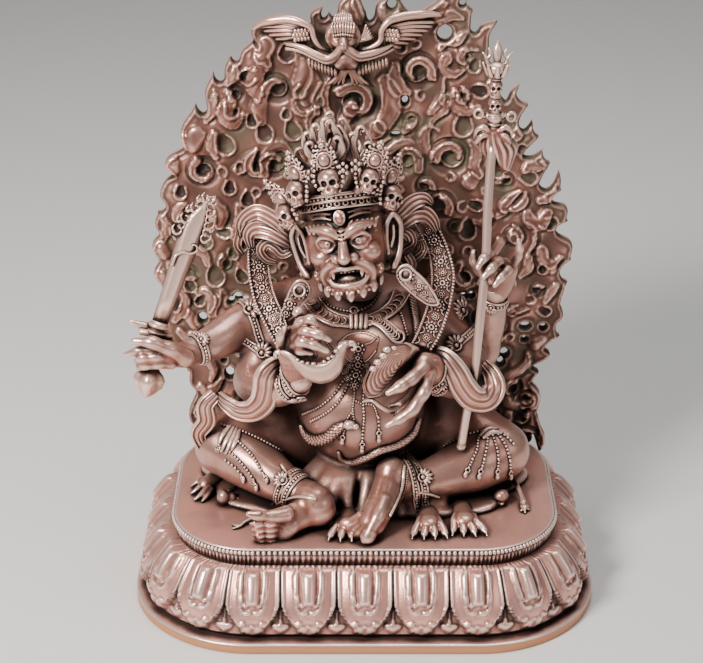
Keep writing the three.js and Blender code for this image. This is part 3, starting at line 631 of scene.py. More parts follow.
# Flames and tusks: a path of places with a half-width in pixels for each; every flame tapers to its tip.
FLAMES = [
    [(265, 172, 4), (265, 158, 5), (271, 148, 5), (281, 144, 5), (290, 151, 3)],
    [(389, 150, 3), (398, 143, 5), (409, 143, 5), (417, 152, 5), (419, 168, 4)],
    [(235, 168, 2), (243, 169, 3), (246, 160, 4), (257, 148, 1)],
    [(260, 174, 2), (252, 172, 3), (250, 161, 4), (257, 148, 1)],
    [(304, 94, 1), (295, 98, 2.5), (296, 107, 3), (304, 112, 2.5), (311, 108, 1)],
    [(319, 96, 1), (316, 108, 3.5), (309, 117, 3), (309, 127, 2)],
    [(231, 101, 5), (226, 111, 8), (234, 121, 7), (243, 114, 2)],
    [(262, 66, 5), (255, 78, 8), (254, 90, 6), (258, 98, 2)],
    [(303, 58, 6), (303, 72, 8), (299, 84, 7), (296, 92, 4)],
    [(266, 43, 7), (262, 53, 7), (268, 62, 3)],
    [(384, 78, 5), (391, 92, 8), (391, 108, 9), (384, 122, 8)],
    [(377, 126, 7), (375, 131, 6)],
    [(395, 64, 3), (395, 76, 6), (400, 87, 7), (408, 92, 3)],
    [(410, 127, 2), (402, 133, 1.6), (393, 136, 1.5), (382, 141, 1.2)],
    [(446, 57, 5), (443, 66, 4), (451, 73, 4), (464, 69, 1.5)],
    [(477, 49, 1), (464, 49, 2.5), (461, 57, 3.5), (467, 66, 1.5)],
    [(452, 93, 1.5), (443, 97, 2.5), (446, 107, 3), (436, 116, 2.5), (431, 123, 2), (438, 129, 1)],
    [(455, 92, 4), (457, 104, 6), (466, 110, 5), (478, 105, 2)],
    [(430, 112, 2), (436, 106, 3), (443, 90, 1.5), (444, 76, 1)],
    [(459, 262, 3), (454, 273, 6), (461, 284, 6), (472, 283, 3)],
    [(496, 216, 1.5), (503, 211, 3), (505, 203, 3.5), (512, 196, 3), (520, 190, 1)],
    [(511, 208, 2), (518, 206, 3), (525, 199, 3), (525, 191, 1)],
    [(527, 212, 4), (531, 221, 6), (541, 222, 6), (548, 212, 4)],
    [(525, 220, 1), (533, 228, 2), (534, 241, 2.2), (526, 254, 1)],
    [(541, 249, 5), (544, 259, 5), (553, 262, 3), (560, 256, 1.5)],
    [(503, 299, 1), (507, 307, 2.5), (517, 309, 3), (527, 307, 1)],
    [(527, 351, 1), (527, 361, 3.5), (519, 369, 4), (508, 374, 4), (502, 385, 4)],
    [(505, 390, 4), (508, 401, 4), (518, 404, 4), (528, 399, 3)],
    [(509, 412, 4), (508, 424, 5), (516, 436, 5), (520, 449, 4)],
    [(541, 372, 2), (534, 380, 4), (537, 392, 5), (533, 404, 4)],
    [(540, 417, 4), (544, 430, 5), (540, 444, 5), (528, 452, 4)],
    [(163, 215, 2), (168, 226, 5), (164, 236, 4)],
    [(170, 262, 3), (176, 272, 6), (172, 284, 5)],
    [(185, 202, 2), (178, 208, 4), (176, 218, 3)],
    [(214, 132, 2), (212, 144, 5), (216, 155, 3)],
    [(206, 120, 2), (213, 108, 5), (214, 95, 3)],
    [(228, 82, 3), (235, 74, 5), (236, 66, 2)],
    [(215, 200, 3), (222, 212, 6), (220, 224, 4)],
    [(238, 205, 2), (240, 220, 5), (236, 234, 4), (240, 246, 2)],
    [(208, 262, 3), (204, 252, 5), (196, 246, 5), (190, 238, 2)],
    [(198, 292, 2), (206, 290, 4), (212, 298, 4), (210, 308, 2)],
    [(180, 288, 2), (186, 298, 4), (182, 310, 5), (176, 318, 3)],
    [(222, 288, 2), (226, 300, 5), (222, 312, 5), (226, 322, 2)],
    [(180, 330, 3), (188, 336, 5), (197, 332, 3)],
    [(196, 350, 2), (206, 356, 5), (214, 366, 4), (212, 378, 2)],
    [(200, 385, 3), (208, 390, 5), (216, 386, 4), (222, 378, 2)],
    [(212, 402, 3), (220, 410, 5), (230, 408, 4), (236, 400, 2)],
    [(236, 380, 2), (244, 386, 5), (254, 384, 4), (260, 374, 2)],
    [(430, 20, 2), (440, 18, 5), (452, 14, 5), (462, 18, 2)],
    [(440, 47, 2), (446, 42, 3), (456, 40, 4), (466, 32, 2)],
    [(416, 4, 2), (424, 12, 4), (434, 10, 5), (444, 4, 3)],
    [(358, -8, 2), (356, 2, 4), (361, 10, 5), (360, 20, 3)],
    [(382, 8, 2), (384, 16, 4), (392, 18, 4), (398, 12, 2)],
    [(497, 74, 2), (493, 84, 5), (498, 96, 4), (506, 100, 2)],
    [(510, 140, 2), (518, 134, 4), (522, 124, 3)],
    [(524, 170, 2), (530, 164, 4), (540, 166, 4), (546, 158, 2)],
    [(540, 200, 3), (548, 198, 4), (554, 190, 2)],
    [(520, 275, 2), (527, 268, 5), (528, 256, 4)],
    [(545, 300, 2), (550, 292, 4), (556, 284, 3)],
    [(474, 220, 2), (484, 222, 4), (490, 214, 3)],
    [(468, 305, 2), (476, 312, 4), (486, 310, 4)],
    [(440, 300, 2), (446, 312, 4), (443, 324, 4)],
    [(486, 390, 2), (492, 400, 4), (488, 410, 4)],
    [(430, 125, 2), (424, 136, 5), (427, 148, 4), (433, 158, 2)],
    [(470, 140, 2), (476, 150, 5), (474, 164, 5), (480, 174, 2)],
    [(330, 78, 2), (325, 92, 3), (326, 106, 3), (333, 118, 2)],
    [(322, 82, 2), (317, 98, 3), (318, 112, 2)],
]

# Holes right through: place, half-width and half-height in pixels.
PIERCED = [
    (203, 317, 5, 6), (224, 359, 3, 3), (230, 372, 5, 7), (225, 400, 2.5, 3), (244, 396, 4, 5),
    (445, 33, 8, 8), (500, 325, 4, 4.5), (525, 325, 6, 4), (543, 326, 4, 3.5), (524, 338, 3.5, 3),
    (504, 352, 5, 5), (500, 361, 4, 5), (463, 295, 3.5, 3), (471, 294, 3, 3), (496, 411, 2.5, 3),
    (486, 420, 2.5, 2.5), (506, 421, 2, 2), (527, 437, 6, 7.5), (231, 300, 4, 4), (238, 296, 5, 4),
    (246, 299, 4, 4), (523, 418, 2, 2), (392, 4, 5, 6), (463, 3, 4, 4), (405, 100, 3.5, 5),
    (396, 134, 6, 3),
]


def on_plate(u, v):
    """A pixel's place on the plate's front, in X and Z."""
    return seen(u, v, PLATE_FRONT)[[0, 2]]


def trace(points):
    """A smooth line through the outline's points, sharp at its tips and notches, in X and Z."""
    flat = np.array([on_plate(u, v) for _, u, v in points])
    line = []
    for i in range(len(flat) - 1):
        a, b = flat[i], flat[i + 1]
        span = np.linalg.norm(b - a)
        ways = []
        for k in (i, i + 1):
            kind = points[k][0]
            before, after = flat[max(k - 1, 0)], flat[min(k + 1, len(flat) - 1)]
            if kind == "t":
                point = unit(flat[k] - (before + after) / 2 + np.array([0, 0.2 * span]))
                ways.append(point if k > i else -point)
            elif kind == "n":
                ways.append(unit(b - a))
            else:
                ways.append(unit(after - before))
        t = np.linspace(0, 1, 9)[:-1, None]
        first = (2 * t**3 - 3 * t**2 + 1) * a + (t**3 - 2 * t**2 + t) * ways[0] * span * 1.15
        line.append(first + (3 * t**2 - 2 * t**3) * b + (t**3 - t**2) * ways[1] * span * 1.15)
    return np.vstack(line + [flat[-1:]])


class Relief:
    """Signed distance and carving over an X-Z grid."""

    def __init__(self, low, high, step):
        self.x = np.arange(low[0], high[0], step)
        self.z = np.arange(low[1], high[1], step)
        shape = (len(self.x), len(self.z))
        self.rims, self.bosses, self.sunk = np.zeros(shape), np.zeros(shape), np.zeros(shape)
        self.step = step

    def window(self, points, reach):
        low, high = points.min(0) - reach, points.max(0) + reach
        i = slice(*np.searchsorted(self.x, (low[0], high[0])))
        j = slice(*np.searchsorted(self.z, (low[1], high[1])))
        return (i, j), self.x[i][:, None], self.z[j][None, :]

    def line(self, layer, points, halves, heights):
        """Raises a rounded ridge along a line in one layer."""
        halves, heights = [np.broadcast_to(value, len(points)) for value in (halves, heights)]
        spot, x, z = self.window(points, max(halves) + self.step)
        if x.size == 0 or z.size == 0:
            return
        far, share = path_distance(x, z, points)
        shares = np.linspace(0, 1, len(points))
        half, height = np.interp(share, shares, halves), np.interp(share, shares, heights)
        layer[spot] = np.maximum(layer[spot], height * dome(far, half))

    def tongue(self, points, halves):
        """Raises a soft tongue with a thin rim along its edge."""
        spot, x, z = self.window(points, max(halves) + 2)
        if x.size == 0 or z.size == 0:
            return
        far, share = path_distance(x, z, points)
        half = np.interp(share, np.linspace(0, 1, len(points)), halves)
        self.bosses[spot] = np.maximum(self.bosses[spot], (0.5 + 0.5 * half) * dome(far, half))
        self.rims[spot] = np.maximum(self.rims[spot], 1.3 * dome(far - half, 0.6))

    def distance(self, loops):
        """Signed distance to closed loops, true near them, negative inside."""
        far = np.full(self.rims.shape, 12.0)
        crossings = np.zeros(self.rims.shape, int)
        for loop in loops:
            for a, b in zip(loop, np.roll(loop, -1, axis=0)):
                spot, x, z = self.window(np.array([a, b]), 7)
                if x.size and z.size:
                    far[spot] = np.minimum(far[spot], path_distance(x, z, [a, b])[0])
                rows = np.nonzero((self.z >= min(a[1], b[1])) & (self.z < max(a[1], b[1])))[0]
                for j in rows:
                    cut = a[0] + (b[0] - a[0]) * (self.z[j] - a[1]) / (b[1] - a[1])
                    crossings[self.x < cut, j] += 1
        return np.where(crossings % 2, -far, far)


def fill_back(points, rim):
    """Triangles that fill the shape left of the rim's edges, from its points in X and Z."""
    corners = [Vector(point) for point in points]
    _, _, faces, origin, _, _ = delaunay_2d_cdt(corners, rim.tolist(), [], 0, 1e-6)
    triangles = [[origin[k][0] for k in face] for face in faces]
    owner = {}
    for n, (a, b, c) in enumerate(triangles):
        owner[a, b] = owner[b, c] = owner[c, a] = n
    walls = {tuple(edge) for edge in rim.tolist()}
    waiting = [owner[edge] for edge in walls if edge in owner]
    kept = set()
    while waiting:
        n = waiting.pop()
        if n in kept:
            continue
        kept.add(n)
        a, b, c = triangles[n]
        for edge in ((a, b), (b, c), (c, a)):
            over = edge[::-1]
            if edge not in walls and over in owner:
                waiting.append(owner[over])
    return np.array([triangles[n] for n in sorted(kept)])


def plate_mesh(relief, signed, front):
    """The plate's faces: a front in relief, walls round the outline and the holes, and a plain back."""
    inside = signed < 0
    corners = [inside[:-1, :-1], inside[1:, :-1], inside[1:, 1:], inside[:-1, 1:]]
    mixed = np.any(corners, axis=0)
    ids = np.full(mixed.shape, -1)
    ids[mixed] = np.arange(mixed.sum())
    i, j = np.nonzero(mixed)
    steps = [(0, 0), (1, 0), (1, 1), (0, 1)]
    place = np.zeros((len(i), 2))
    count = np.zeros(len(i))
    for (a, b), (c, d) in zip(steps, steps[1:] + steps[:1]):
        first, second = signed[i + a, j + b], signed[i + c, j + d]
        cross = (first < 0) != (second < 0)
        t = np.where(cross, first / np.where(cross, first - second, 1), 0)
        place[:, 0] += np.where(cross, a + (c - a) * t, 0)
        place[:, 1] += np.where(cross, b + (d - b) * t, 0)
        count += cross
    place = np.where(count[:, None] > 0, place / np.maximum(count, 1)[:, None], 0.5)
    x = relief.x[i] + place[:, 0] * relief.step
    z = relief.z[j] + place[:, 1] * relief.step
    height = (front[i, j] + front[i + 1, j] + front[i, j + 1] + front[i + 1, j + 1]) / 4
    verts = np.column_stack([x, PLATE_FRONT - height, z])
    # Each corner of the grid inside the outline is a face between its four cells.
    a, b = np.nonzero(inside[1:-1, 1:-1])
    a, b = a + 1, b + 1
    faces = np.stack([ids[a - 1, b - 1], ids[a, b - 1], ids[a, b], ids[a - 1, b]], 1)
    edges = np.stack([faces, np.roll(faces, -1, axis=1)], axis=-1).reshape(-1, 2)
    keys = edges[:, 0].astype(np.int64) * len(verts) + edges[:, 1]
    back_keys = edges[:, 1].astype(np.int64) * len(verts) + edges[:, 0]
    # Edges with one face alone are the rim, which the walls carry to the back.
    rim = edges[~np.isin(keys, back_keys)]
    heap = Heap()
    on_rim = np.unique(rim)
    back = np.full(len(verts), -1)
    back[on_rim] = np.arange(len(on_rim)) + len(verts)
    behind = verts[on_rim].copy()
    behind[:, 1] = PLATE_BACK
    walls = np.stack([rim[:, 1], rim[:, 0], back[rim[:, 0]], back[rim[:, 1]]], 1)
    numbers = np.full(len(verts), -1)
    numbers[on_rim] = np.arange(len(on_rim))
    back_faces = fill_back(behind[:, [0, 2]], numbers[rim])[:, ::-1] + len(verts)
    whole = np.vstack([verts, behind])
    heap.add(whole, [faces, walls, back_faces])
    return heap


def coil(x, z, radius, start, hand, turns, share, thin=0.22):
    """Places on a spiral about (x, z) at shares of the way in, and how far each is from its middle.

    Thin is the share of the radius that is left at its inner end.
    """
    angle = math.radians(start) + hand * share * turns * 2 * np.pi
    far = radius * (1 - (1 - thin) * share**0.8)
    return np.column_stack([x + far * np.cos(angle), z + far * np.sin(angle)]), far


def fill_gaps(relief, signed):
    """Sets a small open ring wherever the ground between the drawn forms is still bare."""
    reach = int(4.8 / relief.step)
    for x in np.arange(relief.x[0] + 5, relief.x[-1] - 5, RING_SPACING):
        for z in np.arange(relief.z[0] + 4, relief.z[-1] - 5, RING_SPACING):
            place = np.array([x, z]) + rng.uniform(-2, 2, 2)
            i, j = np.searchsorted(relief.x, place[0]), np.searchsorted(relief.z, place[1])
            spot = (slice(max(i - reach, 0), i + reach + 1), slice(max(j - reach, 0), j + reach + 1))
            taken = (relief.rims[spot] > 0.1) | (relief.bosses[spot] > 0.1) | (signed[spot] > -1.5)
            if taken.mean() > RING_CROWDING:
                continue
            radius = rng.uniform(2.6, 3.6)
            share = np.linspace(0, 1, 18)
            start = math.degrees(rng.uniform(0, 2 * np.pi))
            hand = rng.choice([-1, 1])
            line, _ = coil(*place, radius, start, hand, 0.75, share, 0.6)
            relief.line(relief.rims, line, 0.6 * np.sin(0.35 + 2.45 * share) + 0.2, 1.4)
            relief.line(relief.sunk, np.array([place - 0.1, place + 0.1]), 0.85 * radius, 0.8)


def carve_drops(relief):
    """Drop-shaped rims, open at the top, each round a hollow."""
    for u, v, radius, tilt, close in DROPS:
        radius = radius * PLATE_PIXEL
        gap = 1 - close
        form = np.array([(-0.15 - 0.75 * gap, 1.75 - 0.6 * gap), (-0.72, 0.85), (-0.98, 0.1),
                         (-0.7, -0.72), (0, -1), (0.7, -0.72), (0.98, 0.1), (0.78, 0.7),
                         (0.55 + 0.5 * gap, 1.05)]) * radius
        spin = turned(0, tilt, 0)[np.ix_([0, 2], [0, 2])]
        line = curve_2d(form @ spin.T + on_plate(u, v), 26)
        relief.line(relief.rims, line, 0.5 + 0.42 * np.sin(np.linspace(0.1, np.pi - 0.1, 26)), 1.9)
        middle = np.array([(0, 0.5), (0, -0.1)]) * radius @ spin.T + on_plate(u, v)
        relief.line(relief.sunk, middle, 0.95 * radius, 1.5)


def carve_volutes(relief):
    """Scrolls: a rim that winds in, and a swelling body between its outer and inner turn."""
    for u, v, radius, start, hand, turns in VOLUTES:
        x, z = on_plate(u, v)
        radius = radius * PLATE_PIXEL
        relief.line(relief.sunk, np.array([(x - 0.1, z), (x + 0.1, z)]), 1.04 * radius, 2.5)
        turns = max(turns, 1.0) + 0.3
        share = np.linspace(0, 1, 44)
        thick = 0.7 + 0.12 * max(radius - 8, 0)
        rim, _ = coil(x, z, radius, start, hand, turns, share)
        relief.line(relief.rims, rim, thick * (1 - 0.3 * share), 2.6 - 0.5 * share)
        share = np.linspace(0, 1 - 1 / turns, 14)
        outer, far = coil(x, z, radius, start, hand, turns, share)
        inner, near = coil(x, z, radius, start, hand, turns, share + 1 / turns)
        half = 0.5 * (far - near) * np.sin(np.linspace(0.9, 2.6, 14))
        relief.line(relief.bosses, (outer + inner) / 2, half, 0.7 + 0.7 * half)


def carve_flames(relief):
    """Bosses, and flames that taper to their tips and shade the ground beside them."""
    for path in BOSSES:
        line = np.array([on_plate(u, v) for u, v, _ in path])
        halves = np.array([half for _, _, half in path]) * PLATE_PIXEL
        relief.line(relief.bosses, line, 1.2 * halves, 0.5 * halves + 0.5)
    for path in FLAMES:
        x, z = np.array([on_plate(u, v) for u, v, _ in path]).T
        halves = np.array([half for _, _, half in path]) * PLATE_PIXEL
        line = curve(np.column_stack([x, z, np.zeros(len(x)), halves]), 24)
        halves = 1.2 * np.maximum(line[:, 3], 0.5)
        relief.tongue(line[:, :2], halves)
        relief.line(relief.sunk, line[4:-2, :2] + FLAME_SHADE, halves[4:-2] + 1.1, 1.1)


def make_aureole():
    shape = trace(OUTLINE)
    # The foot runs along the plinth's top from the last point back to the first.
    foot = np.array([[shape[-1][0] - 4, FLOOR + 0.2], [shape[0][0] + 3, FLOOR + 0.2]])
    shape = np.vstack([shape, foot])
    relief = Relief(shape.min(0) - 2, shape.max(0) + 2, PLATE_STEP)
    turn = np.linspace(0, 2 * np.pi, 17)[:-1]
    holes = []
    for u, v, wide, tall in PIERCED:
        x, z = on_plate(u, v)
        wide, tall = wide * PLATE_PIXEL, tall * PLATE_PIXEL * 1.1
        holes.append(np.column_stack([x + wide * np.cos(turn), z + tall * np.sin(turn)]))
    signed = relief.distance([shape] + holes)
    for hole in holes:
        relief.line(relief.rims, curve_2d(hole, 20), 1.0, 1.3)
    carve_drops(relief)
    carve_volutes(relief)
    carve_flames(relief)
    fill_gaps(relief, signed)
    x, z = relief.x[:, None], relief.z[None, :]
    swell = 1.1 * np.sin(x / 5.3 + 1.6 * np.sin(z / 8)) * np.sin(z / 7.1 + 1.3 * np.sin(x / 9) + 0.7)
    edge = -signed
    body = -1.4 + 3.2 * np.sqrt(np.clip(1 - (1 - np.clip(edge / 6.5, 0, 1)) ** 2, 0, 1))
    border = 1.5 * dome(edge - 0.9, 0.85) - 0.9 * dome(edge - 3.0, 1.3)
    front = body + swell * smooth(edge / 6) + np.maximum(relief.bosses, 0)
    rims = relief.rims * smooth(edge / 1.2)
    front += np.where(rims > border, rims, border) - relief.sunk * (relief.bosses <= 0) * smooth(edge / 3)
    heap = plate_mesh(relief, signed, front)
    return heap.piece("aureole_plate", "flame_aureole", "aureole_copper", crease=80)


# Clay: a signed distance field that takes rounded forms and becomes a mesh.

class Clay:
    def __init__(self, low, high, step):
        self.low, self.step = np.asarray(low, float), step
        self.size = np.ceil((np.asarray(high, float) - self.low) / step).astype(int) + 1
        self.field = np.full(self.size, 30.0, np.float32)

    def window(self, low, high):
        """The part of the grid between two corners, and its coordinates."""
        first = np.clip(np.floor((low - self.low) / self.step).astype(int), 0, self.size - 1)
        last = np.clip(np.ceil((high - self.low) / self.step).astype(int) + 1, 1, self.size)
        spot = tuple(slice(a, max(b, a)) for a, b in zip(first, last))
        axes = [(self.low[k] + self.step * np.arange(spot[k].start, spot[k].stop)).astype(np.float32)
                for k in range(3)]
        return spot, (axes[0][:, None, None], axes[1][None, :, None], axes[2][None, None, :])

    def take(self, spot, distance, blend, cut):
        """Joins a form to the field, or cuts it out, over a soft edge."""
        old = self.field[spot]
        if cut:
            h = np.clip(0.5 - 0.5 * (old + distance) / blend, 0, 1)
            self.field[spot] = old + (-distance - old) * h + blend * h * (1 - h)
        else:
            h = np.clip(0.5 + 0.5 * (old - distance) / blend, 0, 1)
            self.field[spot] = old + (distance - old) * h - blend * h * (1 - h)

    def ball(self, centre, radii, turn=None, blend=2.0, cut=False):
        """An ellipsoid."""
        centre, radii = np.asarray(centre, float), np.broadcast_to(np.asarray(radii, float), (3,))
        turn = np.eye(3) if turn is None else turn
        reach = np.abs(turn) @ radii + blend + 2 * self.step
        spot, (x, y, z) = self.window(centre - reach, centre + reach)
        offset = (x - centre[0], y - centre[1], z - centre[2])
        own = [sum(turn[j, k] * offset[j] for j in range(3)) / radii[k] for k in range(3)]
        near = np.sqrt(own[0] ** 2 + own[1] ** 2 + own[2] ** 2) + 1e-6
        slope = np.sqrt(sum((own[k] / radii[k]) ** 2 for k in range(3))) + 1e-6
        self.take(spot, near * (near - 1) / slope, blend, cut)

    def limb(self, points, count=None, blend=2.0, across=None, flat=1.0, cut=False):
        """A smooth chain of rounds through places with a radius each.

        Flat squeezes it at right angles to a way across.
        """
        line = curve(points, count or 3 * len(points))
        widest = line[:, 3].max() * max(1, flat) + blend + 2 * self.step
        spot, _ = self.window(line[:, :3].min(0) - widest, line[:, :3].max(0) + widest)
        whole = np.full(self.field[spot].shape, 30.0, np.float32)
        start = [s.start for s in spot]
        for a, b in zip(line[:-1], line[1:]):
            reach = max(a[3], b[3]) * max(1, flat) + blend + 2 * self.step
            part, (x, y, z) = self.window(np.minimum(a, b)[:3] - reach, np.maximum(a, b)[:3] + reach)
            way = b[:3] - a[:3]
            x, y, z = x - a[0], y - a[1], z - a[2]
            t = np.clip((x * way[0] + y * way[1] + z * way[2]) / max(way @ way, 1e-9), 0, 1)
            x, y, z = x - t * way[0], y - t * way[1], z - t * way[2]
            if flat == 1.0:
                far = np.sqrt(x * x + y * y + z * z)
            else:
                n = unit(np.cross(way, across))
                off = x * n[0] + y * n[1] + z * n[2]
                far = np.sqrt(np.maximum(x * x + y * y + z * z + (1 / flat**2 - 1) * off * off, 0))
            distance = (far - a[3] - t * (b[3] - a[3])) * min(1.0, 1.25 * flat)
            local = tuple(slice(s.start - k, s.stop - k) for s, k in zip(part, start))
            whole[local] = np.minimum(whole[local], distance)
        self.take(spot, whole, blend, cut)

    def at(self, points):
        """The field at places, 30 outside the grid."""
        where = (points - self.low) / self.step
        cell = np.floor(where).astype(int)
        outside = np.any((cell < 0) | (cell >= self.size - 1), axis=-1)
        cell = np.clip(cell, 0, self.size - 2)
        part = np.clip(where - cell, 0, 1)
        total = np.zeros(points.shape[:-1])
        for corner in np.ndindex(2, 2, 2):
            weight = np.prod([part[..., k] if corner[k] else 1 - part[..., k] for k in range(3)], axis=0)
            total += weight * self.field[tuple(cell[..., k] + corner[k] for k in range(3))]
        return np.where(outside, 30.0, total)

    def mesh(self, heap):
        """Surface nets: a vertex in each mixed cell and a quad across each mixed edge."""
        field = self.field
        for axis in range(3):
            np.moveaxis(field, axis, 0)[[0, -1]] = 1.0
        inside = field < 0
        corners = list(np.ndindex(2, 2, 2))
        count = np.zeros(self.size - 1, np.int8)
        for a, b, c in corners:
            count += inside[a: inside.shape[0] - 1 + a, b: inside.shape[1] - 1 + b,
                            c: inside.shape[2] - 1 + c]
        mixed = (count > 0) & (count < 8)
        ids = np.full(mixed.shape, -1, np.int64)
        ids[mixed] = np.arange(mixed.sum())
        cell = np.nonzero(mixed)
        total, number = np.zeros((len(cell[0]), 3)), np.zeros(len(cell[0]))
        for corner in corners:
            for axis in range(3):
                if corner[axis]:
                    continue
                other = tuple(1 if k == axis else corner[k] for k in range(3))
                first = field[tuple(cell[k] + corner[k] for k in range(3))]
                second = field[tuple(cell[k] + other[k] for k in range(3))]
                cross = (first < 0) != (second < 0)
                t = np.where(cross, first / np.where(cross, first - second, 1), 0)
                for k in range(3):
                    total[:, k] += np.where(cross, corner[k] + (t if k == axis else 0), 0)
                number += cross
        verts = self.low + self.step * (np.stack(cell, 1) + total / number[:, None])
        quads = []
        for axis in range(3):
            one, two = (axis + 1) % 3, (axis + 2) % 3
            low = [slice(1, -1)] * 3
            high = [slice(1, -1)] * 3
            low[axis], high[axis] = slice(0, -1), slice(1, None)
            first, second = inside[tuple(low)], inside[tuple(high)]
            spots = np.stack(np.nonzero(first != second), 1)
            base = spots.copy()
            base[:, one] += 1
            base[:, two] += 1
            around = []
            for p, q in ((1, 1), (0, 1), (0, 0), (1, 0)):
                place = base.copy()
                place[:, one] -= p
                place[:, two] -= q
                around.append(ids[tuple(place.T)])
            quad = np.stack(around, 1)
            flipped = ~first[tuple(spots.T)]
            quad[flipped] = quad[flipped][:, ::-1]
            quads.append(quad)
        heap.add(verts, [np.vstack(quads)])


# The figure in clay.

BODY_STEP = 1.6
HAND_STEP = 0.85
FOOT_STEP = 0.8

# The four arms, shoulder to wrist, each place with its radius.
SWORD_ARM = [(-38, 18, 149, 15.5), (-56, 12, 145, 13.5), (-67, 7, 143, 11.5), (-78, -3, 140, 10),
             (-92, -12, 137.5, 6.8)]
KNIFE_ARM = [(-42, 10, 143, 14.5), (-54, 3, 128, 12.5), (-57, -6, 119, 11.5), (-46, -20, 120, 10),
             (-34, -30, 130, 7)]
STAFF_ARM = [(34, 20, 149, 15.5), (49, 22, 137, 13.5), (61, 21, 126, 11.5), (66, 16, 140, 9.8),
             (69.5, 10, 162, 6.2)]
BOWL_ARM = [(37, 10, 143, 14.5), (50, 4, 130, 13), (55, -4, 121, 12), (47, -13, 122, 10.5),
            (33, -21, 128.5, 7)]

RIGHT_LEG = [(-18, 20, 74, 23), (-48, 10, 80, 21), (-68, -1, 80, 17), (-76, -5, 78, 15.5)]
RIGHT_SHANK = [(-76, -5, 77, 15.5), (-66, -13, 75, 15.5), (-52, -24, 71, 13), (-38, -35, 67, 9.5),
               (-33, -39, 66, 9)]
LEFT_LEG = [(18, 20, 74, 23), (48, 13, 78, 21), (66, 3, 76, 17), (74, -3, 74, 15.5)]
LEFT_SHANK = [(74, -3, 73, 15.5), (62, -11, 71, 15.5), (46, -18, 68, 13), (28, -25, 66, 9.8),
              (21, -27, 66, 9.5)]

# The palms: the wrist's place and radius in millimetres, rows of a pixel with a depth and a radius, how
# many places the curve has, the way across the palm and how flat it is.
PALMS = (
    ((-88, -10, 138, 6.8), [(180, 355, -17, 7.6), (168, 352, -20, 7)], 10, BACK, 0.85),
    ((-36, -28, 127, 6.8), [(295, 366, -33, 7.2), (293, 350, -36, 8), (294, 338, -37, 7)], 10, RIGHT,
     0.8),
    ((34, -20, 128, 7), [(433, 369, -27, 7.6), (424, 367, -33, 7.8)], 8, UP, 0.8),
)
# The fingers: radii at the root and the tip, then the joints as pixels with a depth.
PIXEL_FINGERS = (
    # The hand that holds the sword, one finger stretched out.
    (3.4, 1.3, [(168, 343, -14), (158, 333, -15), (146, 327, -17), (131, 321.5, -18)]),
    (4.6, 1.8, [(186, 358, -24), (170, 349, -29), (152, 342.5, -31), (134, 341, -30)]),
    (3.2, 1.3, [(168, 352, -24), (152, 350, -28), (138, 351, -28), (125, 354.5, -26)]),
    (3.2, 2, [(170, 358, -26), (156, 357, -30), (142, 358, -30), (137, 362, -25)]),
    (3.0, 2, [(171, 364, -26), (158, 364, -30), (145, 365, -30), (140, 368, -25)]),
    # The hand that holds the curved knife.
    (2.9, 1.8, [(294, 332, -39), (301, 322, -44), (311, 319.5, -46), (316, 326, -47)]),
    (3.3, 1.5, [(296, 338, -42), (306, 331.5, -48), (318, 334.5, -50), (329, 340, -50)]),
    (3.3, 1.5, [(294, 347, -42), (303, 341.5, -50), (315, 345, -51.5), (327, 351, -52)]),
    (2.8, 1.5, [(293, 354, -42), (302, 351, -48), (311, 353, -48)]),
    (3.3, 1.5, [(288, 354, -36), (281.5, 345, -40), (281, 336, -42), (285, 328, -43)]),
    # The hand under the bowl.
    (4.2, 1.6, [(423, 368, -37), (411, 379, -45), (400, 386.5, -50), (388, 393, -52)]),
    (3.9, 1.5, [(429, 374, -37), (424, 392, -45), (412, 410.5, -48), (400, 419, -49), (387, 425.5, -50)]),
    (3.3, 1.5, [(425, 377, -33), (417, 396, -40), (406, 409, -43), (394, 414, -44)]),
    (3.1, 1.5, [(421, 378, -29), (411, 396, -36), (401, 404, -39), (391, 406, -40)]),
)
# The hand about the staff, in millimetres, its little finger raised.
STAFF_FINGERS = [
    (3.0, 1.5, [(69, 2, 183), (65, -6, 190), (61, -12, 190.5), (58, -15, 187)]),
    (3.0, 1.5, [(72, 1, 181), (69, -7, 187), (65, -14, 186), (61, -16, 182)]),
    (2.8, 1.5, [(75, 1, 179), (74, -7, 182), (70, -13, 180.5), (67, -15, 177)]),
    (2.7, 1.2, [(77, 4, 180), (80, 2, 186), (80.5, -1, 192), (79.5, -3, 197.5)]),
    (3.3, 1.6, [(66, 5, 172), (60, 3, 178), (57, -1, 185), (56.5, -4, 191)]),
]

# The feet: rows of a pixel with a depth and a radius. The right foot's sole is towards the viewer.
RIGHT_ANKLE = [(318, 503, -46, 8.5), (321, 510, -47, 8)]
RIGHT_SOLE = [(318, 510, -47, 8), (300, 515, -51, 7.6), (286, 523, -53.5, 7.8), (281, 529, -54, 7.6)]
RIGHT_BIG_TOE = [(286, 514, -56, 4.4), (274, 516, -59, 3.6), (265, 516, -60, 2.7), (257, 515, -61, 3.1),
                 (248.5, 514, -61, 1.5)]
RIGHT_BIG_NAIL = [(259, 513, -63.4, 1.5), (249, 512.6, -62.6, 1.3)]
# The left foot hangs from the ankle, the big toe foremost.
LEFT_ANKLE = [(396, 476, -30, 9), (391, 470, -30, 7.5)]
LEFT_SOLE = [(390, 474, -31, 7.5), (385, 492, -41, 7.6), (379, 508, -50, 7.8), (372, 522, -55.5, 7.4)]
LEFT_BIG_TOE = [(384, 500, -49, 3.6), (377, 518, -57, 4.2), (371, 529, -60.5, 3.4), (367.5, 537, -62, 4),
                (365, 540, -63, 2.4)]
# The paws of the skin, in millimetres: the middle of each and how far it points aside.
PAWS = (((34, -48, 54.5), 0), ((53, -45, 54.5), 0.25), ((-9, -50, 54.5), -0.1))


